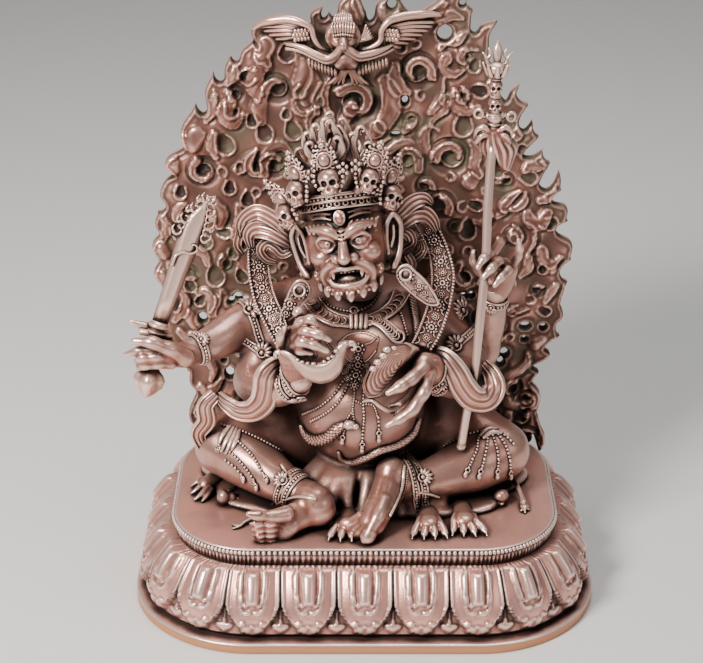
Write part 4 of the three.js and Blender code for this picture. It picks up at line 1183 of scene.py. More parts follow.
def sculpt_body():
    clay = Clay((-122, -50, 49.2), (92, 56, 186), BODY_STEP)
    for limb in (RIGHT_LEG, RIGHT_SHANK, LEFT_LEG, LEFT_SHANK):
        clay.limb(limb, 30, blend=3)
    clay.ball((0, 22, 74), (50, 30, 22), blend=5)
    clay.ball((-2, -1, 101.5), (34.5, 33.5, 33.5), blend=6)
    clay.ball((-4, 8, 128), (33, 24, 22), blend=8)
    clay.ball((-5, 8, 141), (40, 25, 23), blend=6)
    clay.ball((-5, 16, 153), (54, 20, 16), blend=6)
    for side in (-1, 1):
        clay.ball((-5.5 + side * 17, -7, 143), (18, 14, 13), blend=5)
    clay.limb([(-6, 17, 153, 17), (-8, 15, 168, 12.5), (-9, 11, 186, 12.5)], 5, blend=4)
    for arm in (SWORD_ARM, KNIFE_ARM, STAFF_ARM, BOWL_ARM):
        clay.limb(arm, 30, blend=4)
    # Elbows and forearm muscle.
    for place, r in (((-59, -5, 116), 11), ((57, -4, 118), 11.5), ((63, 22, 123), 11)):
        clay.ball(place, r, blend=4)
    # Cloth gathered between the thighs under the belly.
    for n in range(13):
        a = (n - 6) * 0.21
        x, reach = 43 * math.sin(a), 31 + 9 * math.cos(a)
        ripple = 1.8 * math.sin(2.3 * n)
        clay.limb([(0.5 * x, -12, 72, 6), (0.8 * x + ripple, -20 - 6 * math.cos(a), 66, 4.2),
                   (x, 8 - reach, 58 + ripple, 3.4),
                   (1.06 * x - ripple, 4 - reach, 52, 3)], 8, blend=2.6)
    add_skin(clay)
    return clay


def add_skin(clay):
    """The skin under the figure, a wavy-edged sheet cut level with the plinth's top."""
    def beyond(x, y):
        reach = (np.abs(x) / 87) ** 2.6 + (np.abs(y - 3) / 41) ** 2.6
        angle = np.arctan2(y - 3, x)
        return (reach ** 0.385 - 1 - 0.05 * np.sin(7 * angle) - 0.03 * np.sin(13 * angle + 1)) * 40

    spot, (x, y, z) = clay.window(np.array([-100, -48, 49]), np.array([100, 52, 58]))
    above = z - 53.6 - 0.5 * np.sin(x / 5) * np.sin(y / 6)
    clay.take(spot, np.maximum(beyond(x, y), above), 2, False)
    clay.field[:, :, : int(np.ceil((FLOOR - clay.low[2]) / BODY_STEP))] = 5


def sculpt_hands():
    """Four hands in one clay, each finger a chain of joints."""
    clay = Clay((-130, -58, 96), (92, 18, 204), HAND_STEP)
    for wrist, palm, count, across, flat in PALMS:
        clay.limb([wrist, *placed(palm)], count, blend=2, across=across, flat=flat)
    # The staff's hand is given in millimetres.
    clay.limb([(69.5, 10, 160, 6.2), (72, 8, 168, 7), (73, 5, 177, 7.6)], 8, blend=2, across=RIGHT,
              flat=0.72)
    fingers = [(root, tip, seen_all(joints)) for root, tip, joints in PIXEL_FINGERS]
    for root, tip, joints in fingers + STAFF_FINGERS:
        sizes = np.append(np.linspace(root, 0.5 * (root + tip) + 0.4, len(joints) - 1), tip)
        chain = np.column_stack([np.array(joints, float), sizes])
        # Between two joints the finger is slimmer, and its tip narrows to the nail.
        between = (chain[1:] + chain[:-1]) / 2
        between[:, 3] *= 0.91
        both = np.empty((2 * len(chain) - 1, 4))
        both[::2] = chain
        both[1::2] = between
        clay.limb(both, 26, blend=0.8)
    return clay


def sculpt_feet():
    clay = Clay((-68, -68, 49.4), (66, -18, 84), FOOT_STEP)

    def limb(rows, count, blend, **flat):
        clay.limb(placed(rows), count, blend=blend, **flat)

    clay.limb([(-34, -38, 66, 9), *placed(RIGHT_ANKLE)], 6, blend=2.5)
    limb(RIGHT_SOLE, 12, 2.5, across=TOP_WAY, flat=0.6)
    limb(RIGHT_BIG_TOE, 14, 0.8)
    limb(RIGHT_BIG_NAIL, 5, 0.2, across=RIGHT, flat=0.5)
    # The other toes are stacked at the left, a nail on each.
    for n in range(4):
        v = 524.0 + 5.6 * n
        y = -60.5 + 0.4 * n
        left = 253 + 1.5 * n
        limb([(277, v - 1, y + 3, 2.4), (270, v - 0.5, y, 2.5), (264.5, v, y, 1.7),
              (left + 5, v, y - 0.5, 2.4), (left, v + 0.5, y + 1, 1.5)], 14, 0.3)
        limb([(left + 1.5, v - 1, y - 1.8, 1.0), (left - 3, v - 0.4, y - 0.5, 0.6)], 4, 0.2)
    clay.limb([(21, -27, 66, 9.5), *placed(LEFT_ANKLE)], 6, blend=2.5)
    limb(LEFT_SOLE, 12, 2.5, across=RIGHT, flat=0.78)
    limb(LEFT_BIG_TOE, 12, 0.8)
    for n in range(4):
        limb([(371 - 3.2 * n, 519 - n, -56 + 0.8 * n, 2.8),
              (363.5 - 4 * n, 529 - 2.5 * n, -59 + 2 * n, 2.5),
              (358.5 - 4.8 * n, 534 - 3.5 * n, -58 + 2 * n, 2.5),
              (357 - 5 * n, 538 - 4 * n, -58 + 2.2 * n, 1.4)], 12, 0.5)
    # The paws, claws forward.
    for (x, y, z), aside in PAWS:
        clay.limb([(x - 4 * aside, y + 16, z - 1, 4.5), (x, y, z, 6.2)], 6, blend=2, across=RIGHT,
                  flat=0.7)
        for n in range(4):
            spread = (n - 1.5) * 4.1
            knuckle = np.array([x + spread * 1.15 + aside * 5, y - 6.5 + abs(n - 1.5), 53.4])
            tip = knuckle + (spread * 0.16 + aside * 2, -2.6, -0.8)
            claw = tip + (spread * 0.22 + aside * 2, -4.6, -1.2)
            middle = (tip + claw) / 2 + (0, 0, 0.6)
            clay.limb([(x + spread * 0.75, y + 2, z + 0.9, 2.1), (x + spread, y - 3, z + 0.6, 1.8),
                       (*knuckle, 2.4), (*tip, 2.0)], 10, blend=0.4)
            clay.limb([(*tip, 1.0), (*middle, 0.8), (*claw, 0.4)], 6, blend=0.15)
    clay.field[:, :, 0] = 5
    return clay


def show(name, clay):
    heap = Heap()
    clay.mesh(heap)
    return heap.piece(name)


# The head, a design of its own. Its forms are in the head's frame: x to the viewer's right, y backwards
# and z up.

HEAD_STEP = 0.62
HEAD_AT = np.array([-9.0, -7.5, 197.4])
HEAD_TURN = turned(-14, -9, -3)


def on_head(*rows):
    """Places of the head's frame in the part's frame; radii after the place go along."""
    rows = np.asarray(rows, float)
    moved = rows.copy()
    moved[:, :3] = rows[:, :3] @ HEAD_TURN.T + HEAD_AT
    return moved


def sculpt_head():
    clay = Clay(HEAD_AT + (-33, -34, -34), HEAD_AT + (31, 28, 30), HEAD_STEP)

    def ball(x, y, z, radii, blend=2.0, cut=False, turn=None):
        turn = HEAD_TURN if turn is None else HEAD_TURN @ turn
        clay.ball(on_head((x, y, z))[0], radii, turn, blend, cut)

    def limb(rows, blend=1.5, cut=False, count=None, **flat):
        clay.limb(on_head(*rows), count or 4 * len(rows), blend, cut=cut, **flat)

    ball(0, 3, 6, (21, 22.5, 21.5))
    ball(0, -2, -5, (19, 18.5, 19), 5)
    ball(0, -8.5, -16, (13.5, 10.5, 9), 5)
    limb([(0, 11, -14, 12.5), (0, 19, -27, 11)], 3)
    ball(0, -15, -31, (17, 12, 8), 2, cut=True)
    for side in (-1, 1):
        ball(side * 8.4, -21, 3.8, (6.2, 4.2, 4.4), 3, cut=True)
        # Cheek, and the fold from the nose round the mouth.
        ball(side * 11.8, -14.5, -3.5, (6.4, 6, 5.2), 3)
        limb([(side * 4.2, -21, -6, 2.0), (side * 9, -19.5, -8, 2.3), (side * 12.2, -16, -13, 2.4),
              (side * 11.5, -14, -18, 2)], 1.8)
        # The eye: ball, iris, and lids.
        ball(side * 8.2, -16.4, 3.4, (4.9, 4.2, 4.4), 0.6)
        limb([(side * 3.2, -19.6, 3.0, 1.0), (side * 5.8, -21.3, 6.2, 1.25),
              (side * 9.8, -20.6, 7.4, 1.3), (side * 13.6, -16.6, 4.8, 0.9)], 0.5)
        limb([(side * 3.2, -19.6, 3.0, 0.9), (side * 6.6, -20.6, 0.2, 1.1),
              (side * 10.4, -19.2, 0.2, 1.1), (side * 13.6, -16.6, 3.4, 0.8)], 0.6)
        ball(side * 7.8, -20.3, 3.5, (1.9, 1.0, 1.9), 0.3)
        ball(side * 7.8, -21.6, 3.5, (0.8, 0.8, 0.8), 0.2, cut=True)
        # The brow flares up and out in flames.
        limb([(side * 2.4, -21.6, 7.6, 2.6), (side * 6.5, -22.2, 10.4, 2.5),
              (side * 12, -18.6, 11.4, 2.2), (side * 17, -13.5, 11, 1.4)], 1.2)
        for n in range(6):
            x = side * (4.0 + 2.5 * n)
            y = -22.6 + 0.2 * n + 0.26 * n * n
            limb([(x, y, 9.6, 1.15), (x + side * 0.8, y + 0.9, 12.2, 1.0),
                  (x + side * 2.4, y + 1.9, 14.2 - 0.15 * n, 0.5)], 0.4, count=5)
        # The nose's wing and nostril.
        ball(side * 4.1, -22.4, -4.2, (2.9, 3.0, 2.5), 1.2)
        ball(side * 2.5, -24.8, -6.1, (1.3, 1.5, 1.0), 0.5, cut=True)
        # The whisker curl on the jaw.
        ball(side * 14.6, -11.5, -12.8, (3.6, 3.4, 3.8), 1.2)
        for n in range(7):
            a = n * 0.9
            ball(side * (14.8 + 2.3 * math.cos(a)), -14.2, -12.8 + 2.3 * math.sin(a), 0.75, 0.3)
        # The long ear with its hollow.
        ball(side * 21.5, 2, -1, (4.6, 4.2, 12.0), 3)
        ball(side * 24.2, -1.4, 0.8, (2.9, 2.6, 8.8), 1, cut=True)
        limb([(side * 20.4, -4.4, -7, 1.2), (side * 20.8, -4.6, 2, 1.2), (side * 22.2, -3.8, 9, 1.3),
              (side * 25.2, -1.6, 12.2, 1.4), (side * 27.8, 0.4, 8.6, 1.5), (side * 27.4, 0.8, -1, 1.5),
              (side * 25.4, -0.4, -9, 1.7), (side * 22.8, -1.8, -14, 2.3)], 0.8, count=30)
        limb([(side * 22.2, -2.6, -4, 0.9), (side * 24.2, -2.2, 1, 0.9), (side * 24.8, -1.6, 6.5, 0.8)],
             0.8)
        # Furrows of the forehead.
        for n in range(2):
            limb([(side * 4.4, -18.4 + 0.5 * n, 15.2 + 2.9 * n, 0.8),
                  (side * 10, -15.9 + 0.6 * n, 16.6 + 2.6 * n, 1.1),
                  (side * 15, -11.4 + 0.8 * n, 15.8 + 2.4 * n, 0.7)], 1.4)
    # The bridge and tip of the nose, and the creases over it.
    limb([(0, -20, 9, 2.3), (0, -22.6, 4.5, 2.2), (0, -25.2, -0.6, 2.7), (0, -26.4, -4, 3.2)], 1.5)
    for n in range(3):
        z = 4.6 + 1.9 * n
        limb([(-3.4, -21.4, z + 0.9, 0.45), (0, -24.9 + 0.9 * n, z, 0.5), (3.4, -21.4, z + 0.9, 0.45)],
             0.4, cut=True, count=8)
    for side in (-1, 1):
        limb([(side * 1.6, -23.2, 8.6, 0.5), (side * 1.2, -22.6, 12, 0.45)], 0.4, cut=True, count=4)
    # The third eye.
    ball(0, -20.4, 16.2, (2.5, 2.2, 3.4), 0.6)
    rim = [(2.6 * math.sin(a), -21.7 + 0.8 * abs(math.cos(a)), 16.2 + 3.9 * math.cos(a), 0.65)
           for a in np.linspace(0, 2 * np.pi, 9)]
    limb(rim, 0.4, count=18)
    # The open mouth: lips, teeth, fangs and a curled tongue.
    ball(0, -19.5, -13.4, (9.4, 7.5, 4.1), 1.2, cut=True)
    upper = [(-10.6, -16.8, -14.4, 1.1), (-7, -20.2, -10.4, 1.35), (-2.6, -22, -9.4, 1.5),
             (0, -22.2, -9.9, 1.4), (2.6, -22, -9.4, 1.5), (7, -20.2, -10.4, 1.35),
             (10.6, -16.8, -14.4, 1.1)]
    lower = [(-10.6, -16.8, -14.4, 1.1), (-7.5, -19, -17.6, 1.4), (0, -20.8, -18.8, 1.7),
             (7.5, -19, -17.6, 1.4), (10.6, -16.8, -14.4, 1.1)]
    limb(upper, 0.8, count=22)
    limb(lower, 0.8, count=20)
    ball(0, -14, -15.6, (6.5, 6.5, 1.9), 0.8)
    ball(0, -18.6, -14.9, (3.2, 1.8, 1.5), 0.8)
    for n in range(6):
        x = (n - 2.5) * 2.05
        y = -20.6 + 0.075 * x * x
        ball(x, y, -11.3, (0.98, 0.8, 1.35), 0.2)
        ball(x, y + 1.2, -17, (0.95, 0.75, 1.15), 0.2)
    for side in (-1, 1):
        limb([(side * 7, -19.4, -10.8, 1.25), (side * 7.3, -19.8, -13.4, 0.9),
              (side * 7.1, -19.9, -15.2, 0.35)], 0.2, count=6)
        limb([(side * 8.7, -17.6, -17, 1.15), (side * 8.8, -18, -14.4, 0.75),
              (side * 8.6, -18, -12.8, 0.3)], 0.2, count=6)
    # The beard: a curled fringe along the jaw, ending in points.
    ball(0, -14.5, -20.5, (11, 6.5, 3.8), 1.5)
    for n in range(7):
        a = (n - 3) * 0.42
        x, y = 15.6 * math.sin(a), -4.6 - 14.4 * math.cos(a)
        z = -24 + 1.15 * abs(n - 3) ** 1.4
        limb([(x * 0.92, y + 1, z + 2.4, 2.5), (x, y - 0.6, z - 0.2, 2.3),
              (x * 1.02, y - 1.8, z - 2.6, 0.9)], 0.6, count=7)
    for n in range(11):
        for m in range(2):
            a = (n - 5 + 0.5 * m) * 0.2
            ball(14.6 * math.sin(a), -6.8 - 14 * math.cos(a), -20.4 - 2.1 * m, 0.95, 0.3)
    return clay


def sculpt_hair():
    """Locks that stand up behind the crown like flames, in three rings about the tall middle one."""
    clay = Clay(HEAD_AT + (-34, -22, 4), HEAD_AT + (24, 34, 76), 0.72)
    clay.ball(on_head((0, 4, 20))[0], (20, 20, 22), HEAD_TURN, 3)
    clay.limb(on_head((0, 5, 26, 15), (0, 6, 38, 10), (1, 6, 48, 4.5), (2, 6, 54, 1.6)), 12, blend=3)
    for ring, (count, reach, top, thick) in enumerate(((14, 19.5, 40, 4.2), (10, 14, 48, 3.9),
                                                       (6, 8, 54, 3.2))):
        for n in range(count):
            a = 2 * np.pi * (n + 0.5 * ring) / count
            c, s = math.cos(a), math.sin(a)
            tall = top + 2.5 * math.sin(3.7 * n + ring)
            twist = 2.2 * math.sin(2.1 * n + 1.7 * ring)
            # The crown's band hides the feet of the locks in front.
            foot = 14 + 7 * ring + 12 * max(0.0, min(1.0, 0.3 - s))
            rows = [
                (reach * c, 4 + reach * s, foot, thick),
                ((reach + 2) * c - twist * s, 4 + (reach + 1) * s + twist * c, 0.5 * tall + 7, thick),
                (0.9 * reach * c + twist * s, 4 + 0.9 * reach * s - twist * c, 0.78 * tall + 4,
                 0.72 * thick),
                (0.96 * reach * c - twist * s, 4 + 0.9 * reach * s + twist * c, tall + 1, 0.6),
            ]
            clay.limb(on_head(*rows), 12, blend=0.7)
    return clay


def carved_shape(low, high, step, carve):
    """A small carving in its own clay, as vertices and faces to scatter."""
    clay = Clay(low, high, step)
    carve(clay)
    heap = Heap()
    clay.mesh(heap)
    return np.vstack(heap.verts), [np.array(heap.faces[0])]


def skull_shape():
    """A skull about 10 across that faces -Y, its middle at the origin."""
    def carve(clay):
        clay.ball((0, 0.6, 1.4), (4.8, 5.2, 4.6))
        clay.ball((0, -1.4, -3.2), (3.3, 3.4, 3.2), blend=1.2)
        for side in (-1, 1):
            clay.ball((side * 3.1, -2.4, -1.8), (1.3, 1.7, 1.0), blend=0.8)
            clay.ball((side * 1.95, -4.3, 0.1), (1.55, 2.6, 1.4), blend=0.2, cut=True)
        clay.limb([(0, -4.6, -1.5, 0.6), (0, -4.6, -2.5, 1.0)], 3, blend=0.2, cut=True)
        for n in range(5):
            x = (n - 2) * 1.05
            clay.ball((x, -4.5 + 0.22 * x * x, -4.1), (0.5, 0.5, 0.75), blend=0.15)
            clay.ball((x, -4.2 + 0.22 * x * x, -5.6), (0.5, 0.5, 0.6), blend=0.15)
        clay.limb([(-2.4, -3.9, -4.9, 0.22), (0, -5.2, -4.9, 0.22), (2.4, -3.9, -4.9, 0.22)], 6,
                  blend=0.2, cut=True)
    return carved_shape((-6.2, -6.6, -7.6), (6.2, 7, 7.4), 0.5, carve)


def leaf_shape():
    """The crown's leaf: a domed stone in a scrolled frame, standing on the origin and facing -Y."""
    def carve(clay):
        clay.limb([(0, 0.8, 0, 4.2), (0, 0.9, 6, 5.0), (0, 1.0, 11, 3.4), (0, 1.0, 15, 1.4)], 12,
                  blend=0.8, across=RIGHT, flat=0.3)
        clay.ball((0, -0.6, 5.6), (3.1, 2.0, 3.7), blend=0.4)
        ring = [(3.9 * math.sin(a), -0.6, 5.6 + 4.5 * math.cos(a), 0.55)
                for a in np.linspace(0, 2 * np.pi, 13)]
        clay.limb(ring, 26, blend=0.3)
        for n in range(12):
            a = 2 * np.pi * (n + 0.5) / 12
            x, z = 5.4 * math.sin(a), 6.2 + 6.6 * math.cos(a)
            if z > 0.5:
                curl = [(x + 1.15 * math.sin(b), -0.3, z + 1.15 * math.cos(b), 0.5)
                        for b in np.linspace(a, a + 4.6, 6)]
                clay.limb(curl, 10, blend=0.25)
        clay.ball((0, -0.5, 14.2), (1.7, 1.4, 1.7), blend=0.3)
        clay.ball((0, -1.9, 14.2), (0.7, 0.7, 0.7), blend=0.2, cut=True)
        clay.ball((0, 0, 17.0), (1.0, 0.9, 1.5), blend=0.3)
    return carved_shape((-8.4, -4.2, -2.4), (8.4, 3.4, 19.6), 0.48, carve)


# Each leaf of the crown: the angle that it faces, the skull at its foot, the leaf's foot and its tip, as
# pixels with a depth, and the skull's size.
CROWN_LEAVES = [
    (-4, (329.2, 181.7, -33), (326.3, 170, -32), (320, 138, -29), 1.18),
    (24, (368.8, 179.8, -29), (371.7, 169, -28), (382, 140, -25), 1.02),
    (52, (390.6, 196.6, -19), (386, 188, -18), (401, 152, -11), 1.05),
    (-38, (297, 192.6, -26), (300, 184, -25), (286.7, 150, -20), 1.08),
    (-58, (286.7, 216, -19), (291, 208, -17), (263, 179, -9), 1.02),
]

# Curls of the hair: root and end as pixels with a depth, and the hand of the curl.
HAIR_CURLS = [
    ((318, 160, -18), (304, 136, -19), -1), ((325, 158, -19), (312, 128, -20), -1),
    ((331, 156, -20), (322, 122, -20), -1), ((336, 156, -20), (333, 124, -20), 1),
    ((340, 158, -19), (342, 130, -18), 1), ((333, 160, -24), (341, 141, -24), 1),
    ((322, 162, -23), (306, 146, -23), -1), ((352, 160, -17), (349, 137, -16), -1),
    ((357, 158, -17), (357, 130, -16), -1), ((362, 158, -17), (367, 133, -15), 1),
    ((366, 160, -20), (372, 146, -19), 1), ((370, 164, -17), (381, 150, -15), 1),
    ((310, 168, -16), (296, 152, -14), -1), ((345, 160, -8), (346, 122, -6), 1),
    ((328, 160, -8), (326, 116, -6), -1),
]
# Bunches of pearls between the leaves, as pixels with a depth, and each bunch's pearls across and up.
PEARL_BUNCHES = ((343, 170, -33), (355.5, 167, -31), (312.6, 175, -29), (377, 187, -25))
BUNCH = ((0, 0), (-1.8, -1.6), (1.8, -1.6), (-1.7, 1.7), (1.7, 1.7), (0, 3.2), (0, -3.4))


def make_crown(skull, leaf, ball):
    """The diadem: a stepped band with two bead rows, five skulls and a jewelled leaf over each."""
    heap = Heap()

    def ring_at(z, grow, count):
        a = circle(count)
        return on_head(*np.column_stack([(21.6 + grow) * np.sin(a), 2.6 - (23.4 + grow) * np.cos(a),
                                         z + 3 * np.cos(a)]))

    for z, grow, radius in ((18.6, 0.6, 0.9), (22.4, 0.9, 1.1), (25.2, 1.2, 1.0)):
        tube(heap, ring_at(z, grow, 72), radius, 6, closed=True)
    scatter(heap, ball, ring_at(23.8, 1.3, 60), 1.05)
    # A row of small loops hangs below the band.
    for spot in ring_at(20.5, 1.1, 34):
        ring_on(heap, spot, spot - on_head((0, 2.6, 19))[0], 1.25, 0.5, 8, 5)
    low, high, inner = ring_at(18.0, 0.2, 72), ring_at(25.8, 0.7, 72), ring_at(25.8, -2.5, 72)
    heap.add(np.vstack([low, high, inner]), [grid_faces(3, 72, True)])
    for angle, skull_at, foot, tip, size in CROWN_LEAVES:
        a = math.radians(angle)
        foot, tip, middle = seen(*foot), seen(*tip), seen(*skull_at)
        up = unit(tip - foot)
        outward = HEAD_TURN @ np.array([math.sin(a), -math.cos(a), 0.35])
        pose = facing(unit(outward - up * np.dot(outward, up)), up)
        turn = np.stack([pose[:, 0], -pose[:, 2], pose[:, 1]], axis=1)
        scatter(heap, skull, middle[None], size, turn[None])
        tall = np.linalg.norm(tip - foot) / 18.5
        scatter(heap, leaf, foot[None], np.array([[0.9, 1.1, tall]]), turn[None])
        # Each rides on a stem from the band, with beads down both sides.
        b = math.atan2(middle[0] - HEAD_AT[0], HEAD_AT[1] + 2.6 - middle[1])
        root = on_head((18.6 * math.sin(b), 2.6 - 20.4 * math.cos(b), 26))[0]
        stem = [root, (root + middle) / 2 + BACK, middle + BACK, foot + 2 * BACK, (foot + tip) / 2 + BACK]
        tube(heap, curve(stem, 14), 2.1, 8)
        for side in (-1, 1):
            aside = pose[:, 0] * side
            line = curve([middle - up * 5 + aside * 4, middle + aside * 7 - BACK * 0.5,
                          foot + aside * 5.6 + up * 2, foot + aside * 4.6 + up * 10,
                          tip - up * 2 + aside], 12)
            scatter(heap, ball, line, np.linspace(1.25, 0.8, 12))
    for middle in seen_all(PEARL_BUNCHES):
        for n, (across, high) in enumerate(BUNCH):
            scatter(heap, ball, (middle + (across, 0, high))[None], 1.25 - 0.05 * n)
        tube(heap, [middle, middle + (0, 5, -6)], 1.4, 6)
    # Curls of hair that stand up like flames behind the leaves.
    for root, tip, hand in HAIR_CURLS:
        root, tip = seen(*root), seen(*tip)
        turns = np.linspace(0, 4.4, 12)
        spin = RIGHT * hand * np.cos(turns)[:, None] + UP * np.sin(turns)[:, None]
        curl = tip - RIGHT * hand * 2.4 + spin * np.linspace(2.4, 0.7, 12)[:, None]
        bow = (root + tip) / 2 + RIGHT * hand * 2.2
        for shift in (-1.1, 0.0, 1.1):
            rise = [root + RIGHT * shift, bow + RIGHT * shift, tip + RIGHT * shift * 0.4 - UP * 0.5]
            path = np.vstack([curve(rise, 10)[:-1], curl - BACK * shift * 0.5])
            tube(heap, path, np.linspace(1.35, 0.55, len(path)), 7)
    return heap.piece("crown")


# The garuda that holds the top of the aureole. Rows are pixels of the photograph, each with a depth.

GARUDA_MIDDLE = 346
WING_EDGES = (
    [(330, 51, 47), (320, 47, 46), (314, 38, 46), (311, 28, 47), (303, 23, 48), (292, 19.5, 50),
     (275, 20, 52), (262, 23, 54), (253, 29, 55)],
    [(362, 50, 47), (372, 47, 46), (380, 41, 46), (382, 30, 47), (389, 21, 48), (400, 17, 50),
     (416, 14.5, 52), (430, 14, 54), (441, 15, 55)],
)
BEAK_BAND = [
    (286, 44, 50), (294, 45, 48), (304, 48, 46), (316, 54, 44), (328, 58, 43), (336, 54, 42),
    (343, 46, 41), (350, 50, 41), (358, 55, 43), (368, 54, 44), (378, 51, 46), (386, 48, 48),
    (393, 44, 50),
]
# The rounds of its head: place and radii.
GARUDA_HEAD = (
    ((343, 36, 47), (8, 6, 7)), ((343, 41, 44), (6.5, 4.5, 4)), ((346, 58, 46), (6, 5, 5)),
    ((340, 64, 45), (3, 3, 2.6)), ((352, 64, 45), (3, 3, 2.6)),
)
BEAK = [(343, 40, 41, 2.2), (343.5, 46, 38, 2.0), (344, 50, 40, 1.0)]
# Where the combs of feathers under the band start and stop.
COMBS = (((309, 61), (335, 71)), ((359, 70), (386, 61)))


def make_garuda(ball):
    heap = Heap()

    def stroke(rows, count, start, end, sides=6):
        """A feather through pixels, from its radius at the root to that at its tip."""
        tube(heap, curve(seen_all(rows), count), np.linspace(start, end, count), sides)

    for sign, places in zip((-1, 1), WING_EDGES):
        size = np.interp(np.linspace(0, 1, 40), [0, 0.35, 0.5, 0.8, 1], [1.2, 1.5, 2.3, 2.4, 1.0])
        tube(heap, curve(seen_all(places), 40), size, 10)
        # Long feathers under the leading edge, and short ones over the shoulder.
        for n in range(7):
            t = n / 6
            root = (GARUDA_MIDDLE + sign * (38 + 2 * t), 27 + 17 * t, 50 + 1.5 * t)
            tip = (GARUDA_MIDDLE + sign * (88 - 34 * t ** 1.5), 22 + 25 * t, 57)
            middle = ((root[0] + tip[0]) / 2, (root[1] + tip[1]) / 2 - 2 * (1 - t), 52)
            stroke((root, middle, tip), 12, 1.7, 1.0, 8)
        for row in range(3):
            for n in range(5):
                u = GARUDA_MIDDLE + sign * (37 + 3.4 * n + 1.5 * (row % 2))
                v = 30 + 4.2 * row + 0.4 * n
                scatter(heap, ball, seen(u, v, 48)[None], np.array([[1.25, 0.9, 1.6]]))
    # The band of cloth across the beak, and its hem.
    band = curve(seen_all(BEAK_BAND), 60)
    tube(heap, band, np.interp(np.linspace(0, 1, 60), [0, 0.15, 0.5, 0.85, 1], [0.8, 1.7, 2.0, 1.8, 0.8]),
         10)
    tube(heap, band - UP * 2.6 + BACK, 1.2, 8)
    # Head, horns, eyes and beak.
    middle = seen(345, 40, 46)
    clay = Clay(middle + (-15, -14, -22), middle + (17, 12, 18), 0.6)
    for place, radii in GARUDA_HEAD:
        clay.ball(seen(*place), radii, blend=1.5)
    for sign in (-1, 1):
        horn = [(10, 46, 46, 2.0), (14, 38, 46, 2.2), (11, 27, 47, 1.6), (6, 20, 48, 0.8)]
        clay.limb(placed([(343 + sign * across, v, y, radius) for across, v, y, radius in horn]), 9,
                  blend=0.8)
        clay.ball(seen(343 + sign * 6, 38.5, 40.5), (1.7, 1.7, 1.5), blend=0.4, cut=True)
        clay.ball(seen(343 + sign * 6, 38.5, 42), (1.2, 1.2, 1.1), blend=0.3)
    clay.limb(placed(BEAK), 6, blend=0.8)
    clay.mesh(heap)
    # The crest: upright strokes in two rows, a toothed brow, and a fan at the right.
    for n in range(9):
        k = n - 4
        stroke(((343 + 2.5 * k, 33, 41), (343 + 2.8 * k, 26, 41.5),
                (343 + 2.1 * k, 16 + 1.1 * abs(k), 45)), 8, 0.85, 0.45)
        brow = seen(343 + 2.3 * k, 34.5 + 0.25 * abs(k), 40.2 + 0.2 * abs(k))
        scatter(heap, ball, brow[None], 0.85)
        if n < 8:
            stroke(((344.2 + 2.5 * k, 24, 43), (344.2 + 2.2 * k, 16, 44),
                    (344 + 1.2 * k, 9 + 1.2 * abs(k + 0.5), 48)), 7, 0.9, 0.4)
    for n in range(6):
        stroke(((358 + 1.2 * n, 42 - 0.5 * n, 46), (364 + 1.4 * n, 33 + 1.0 * n, 47),
                (366 + 1.6 * n, 25 + 2.6 * n, 49)), 8, 1.4, 0.6)
    # Combs of small feathers under the band, and the tail.
    for start, stop in COMBS:
        for t in np.arange(9) / 8:
            u = start[0] + (stop[0] - start[0]) * t
            v = start[1] + (stop[1] - start[1]) * t
            comb = curve(seen_all(((u, v - 4, 50), (u + 0.3, v + 1, 49), (u + 0.6, v + 6, 51))), 6)
            tube(heap, comb, np.array([0.8, 1.0, 1.0, 0.9, 0.7, 0.4]), 6)
    for sign in (-1, 1):
        for n in range(4):
            stroke(((348 + sign * 2 * n, 68, 52), (348 + sign * (4 + 3 * n), 76 + n, 54),
                    (348 + sign * (5 + 5 * n), 84, 57)), 8, 1.5, 0.8, 7)
    return heap.piece("garuda", "flame_aureole", "aureole_copper")


# Reaching the clay, and laying small work upon it

# Depths between which a pixel's ray looks for the clay.
RAY_START = -90.0
RAY_STOP = 60.0


def nearest(points, clays):
    return np.min([clay.at(points) for clay in clays], axis=0)


def slopes_at(points, clays):
    """The way out of the clay at places near its surface."""
    reach = 1.2
    slope = [nearest(points + reach * axis, clays) - nearest(points - reach * axis, clays)
             for axis in np.eye(3)]
    return unit(np.stack(slope, axis=-1))


def touch(pixels, clays, lift=0.0):
    """Where the photograph's pixels fall on the clay, and the ways out of it there."""
    pixels = np.asarray(pixels, float)
    begin = np.array([seen(u, v, RAY_START) for u, v in pixels])
    rays = unit(begin - EYE)
    far = np.zeros(len(pixels))
    best = np.zeros(len(pixels))
    least = np.full(len(pixels), 1e9)
    for _ in range(140):
        spots = begin + rays * far[:, None]
        gap = nearest(spots, clays)
        best = np.where(gap < least, far, best)
        least = np.minimum(gap, least)
        going = (gap > 0.05) & (spots[:, 1] < RAY_STOP)
        far += np.where(going, np.clip(0.8 * gap, 0.2, 2.0), 0)
    # A pixel that just misses the clay is drawn onto it from where it passes closest.
    spots = begin + rays * best[:, None]
    for _ in range(3):
        spots = spots - slopes_at(spots, clays) * np.maximum(nearest(spots, clays) - 0.05, 0)[:, None]
    out = slopes_at(spots, clays)
    return spots + lift * out, out


def laid(pixels, clays, count, lift=0.0):
    """A smooth line of the photograph laid on the clay, evenly spread in space, and the ways out."""
    spots, _ = touch(curve_2d(pixels, 4 * len(pixels) + 12), clays)
    even = curve(spots, count)
    out = slopes_at(even, clays)
    return even + lift * out, out


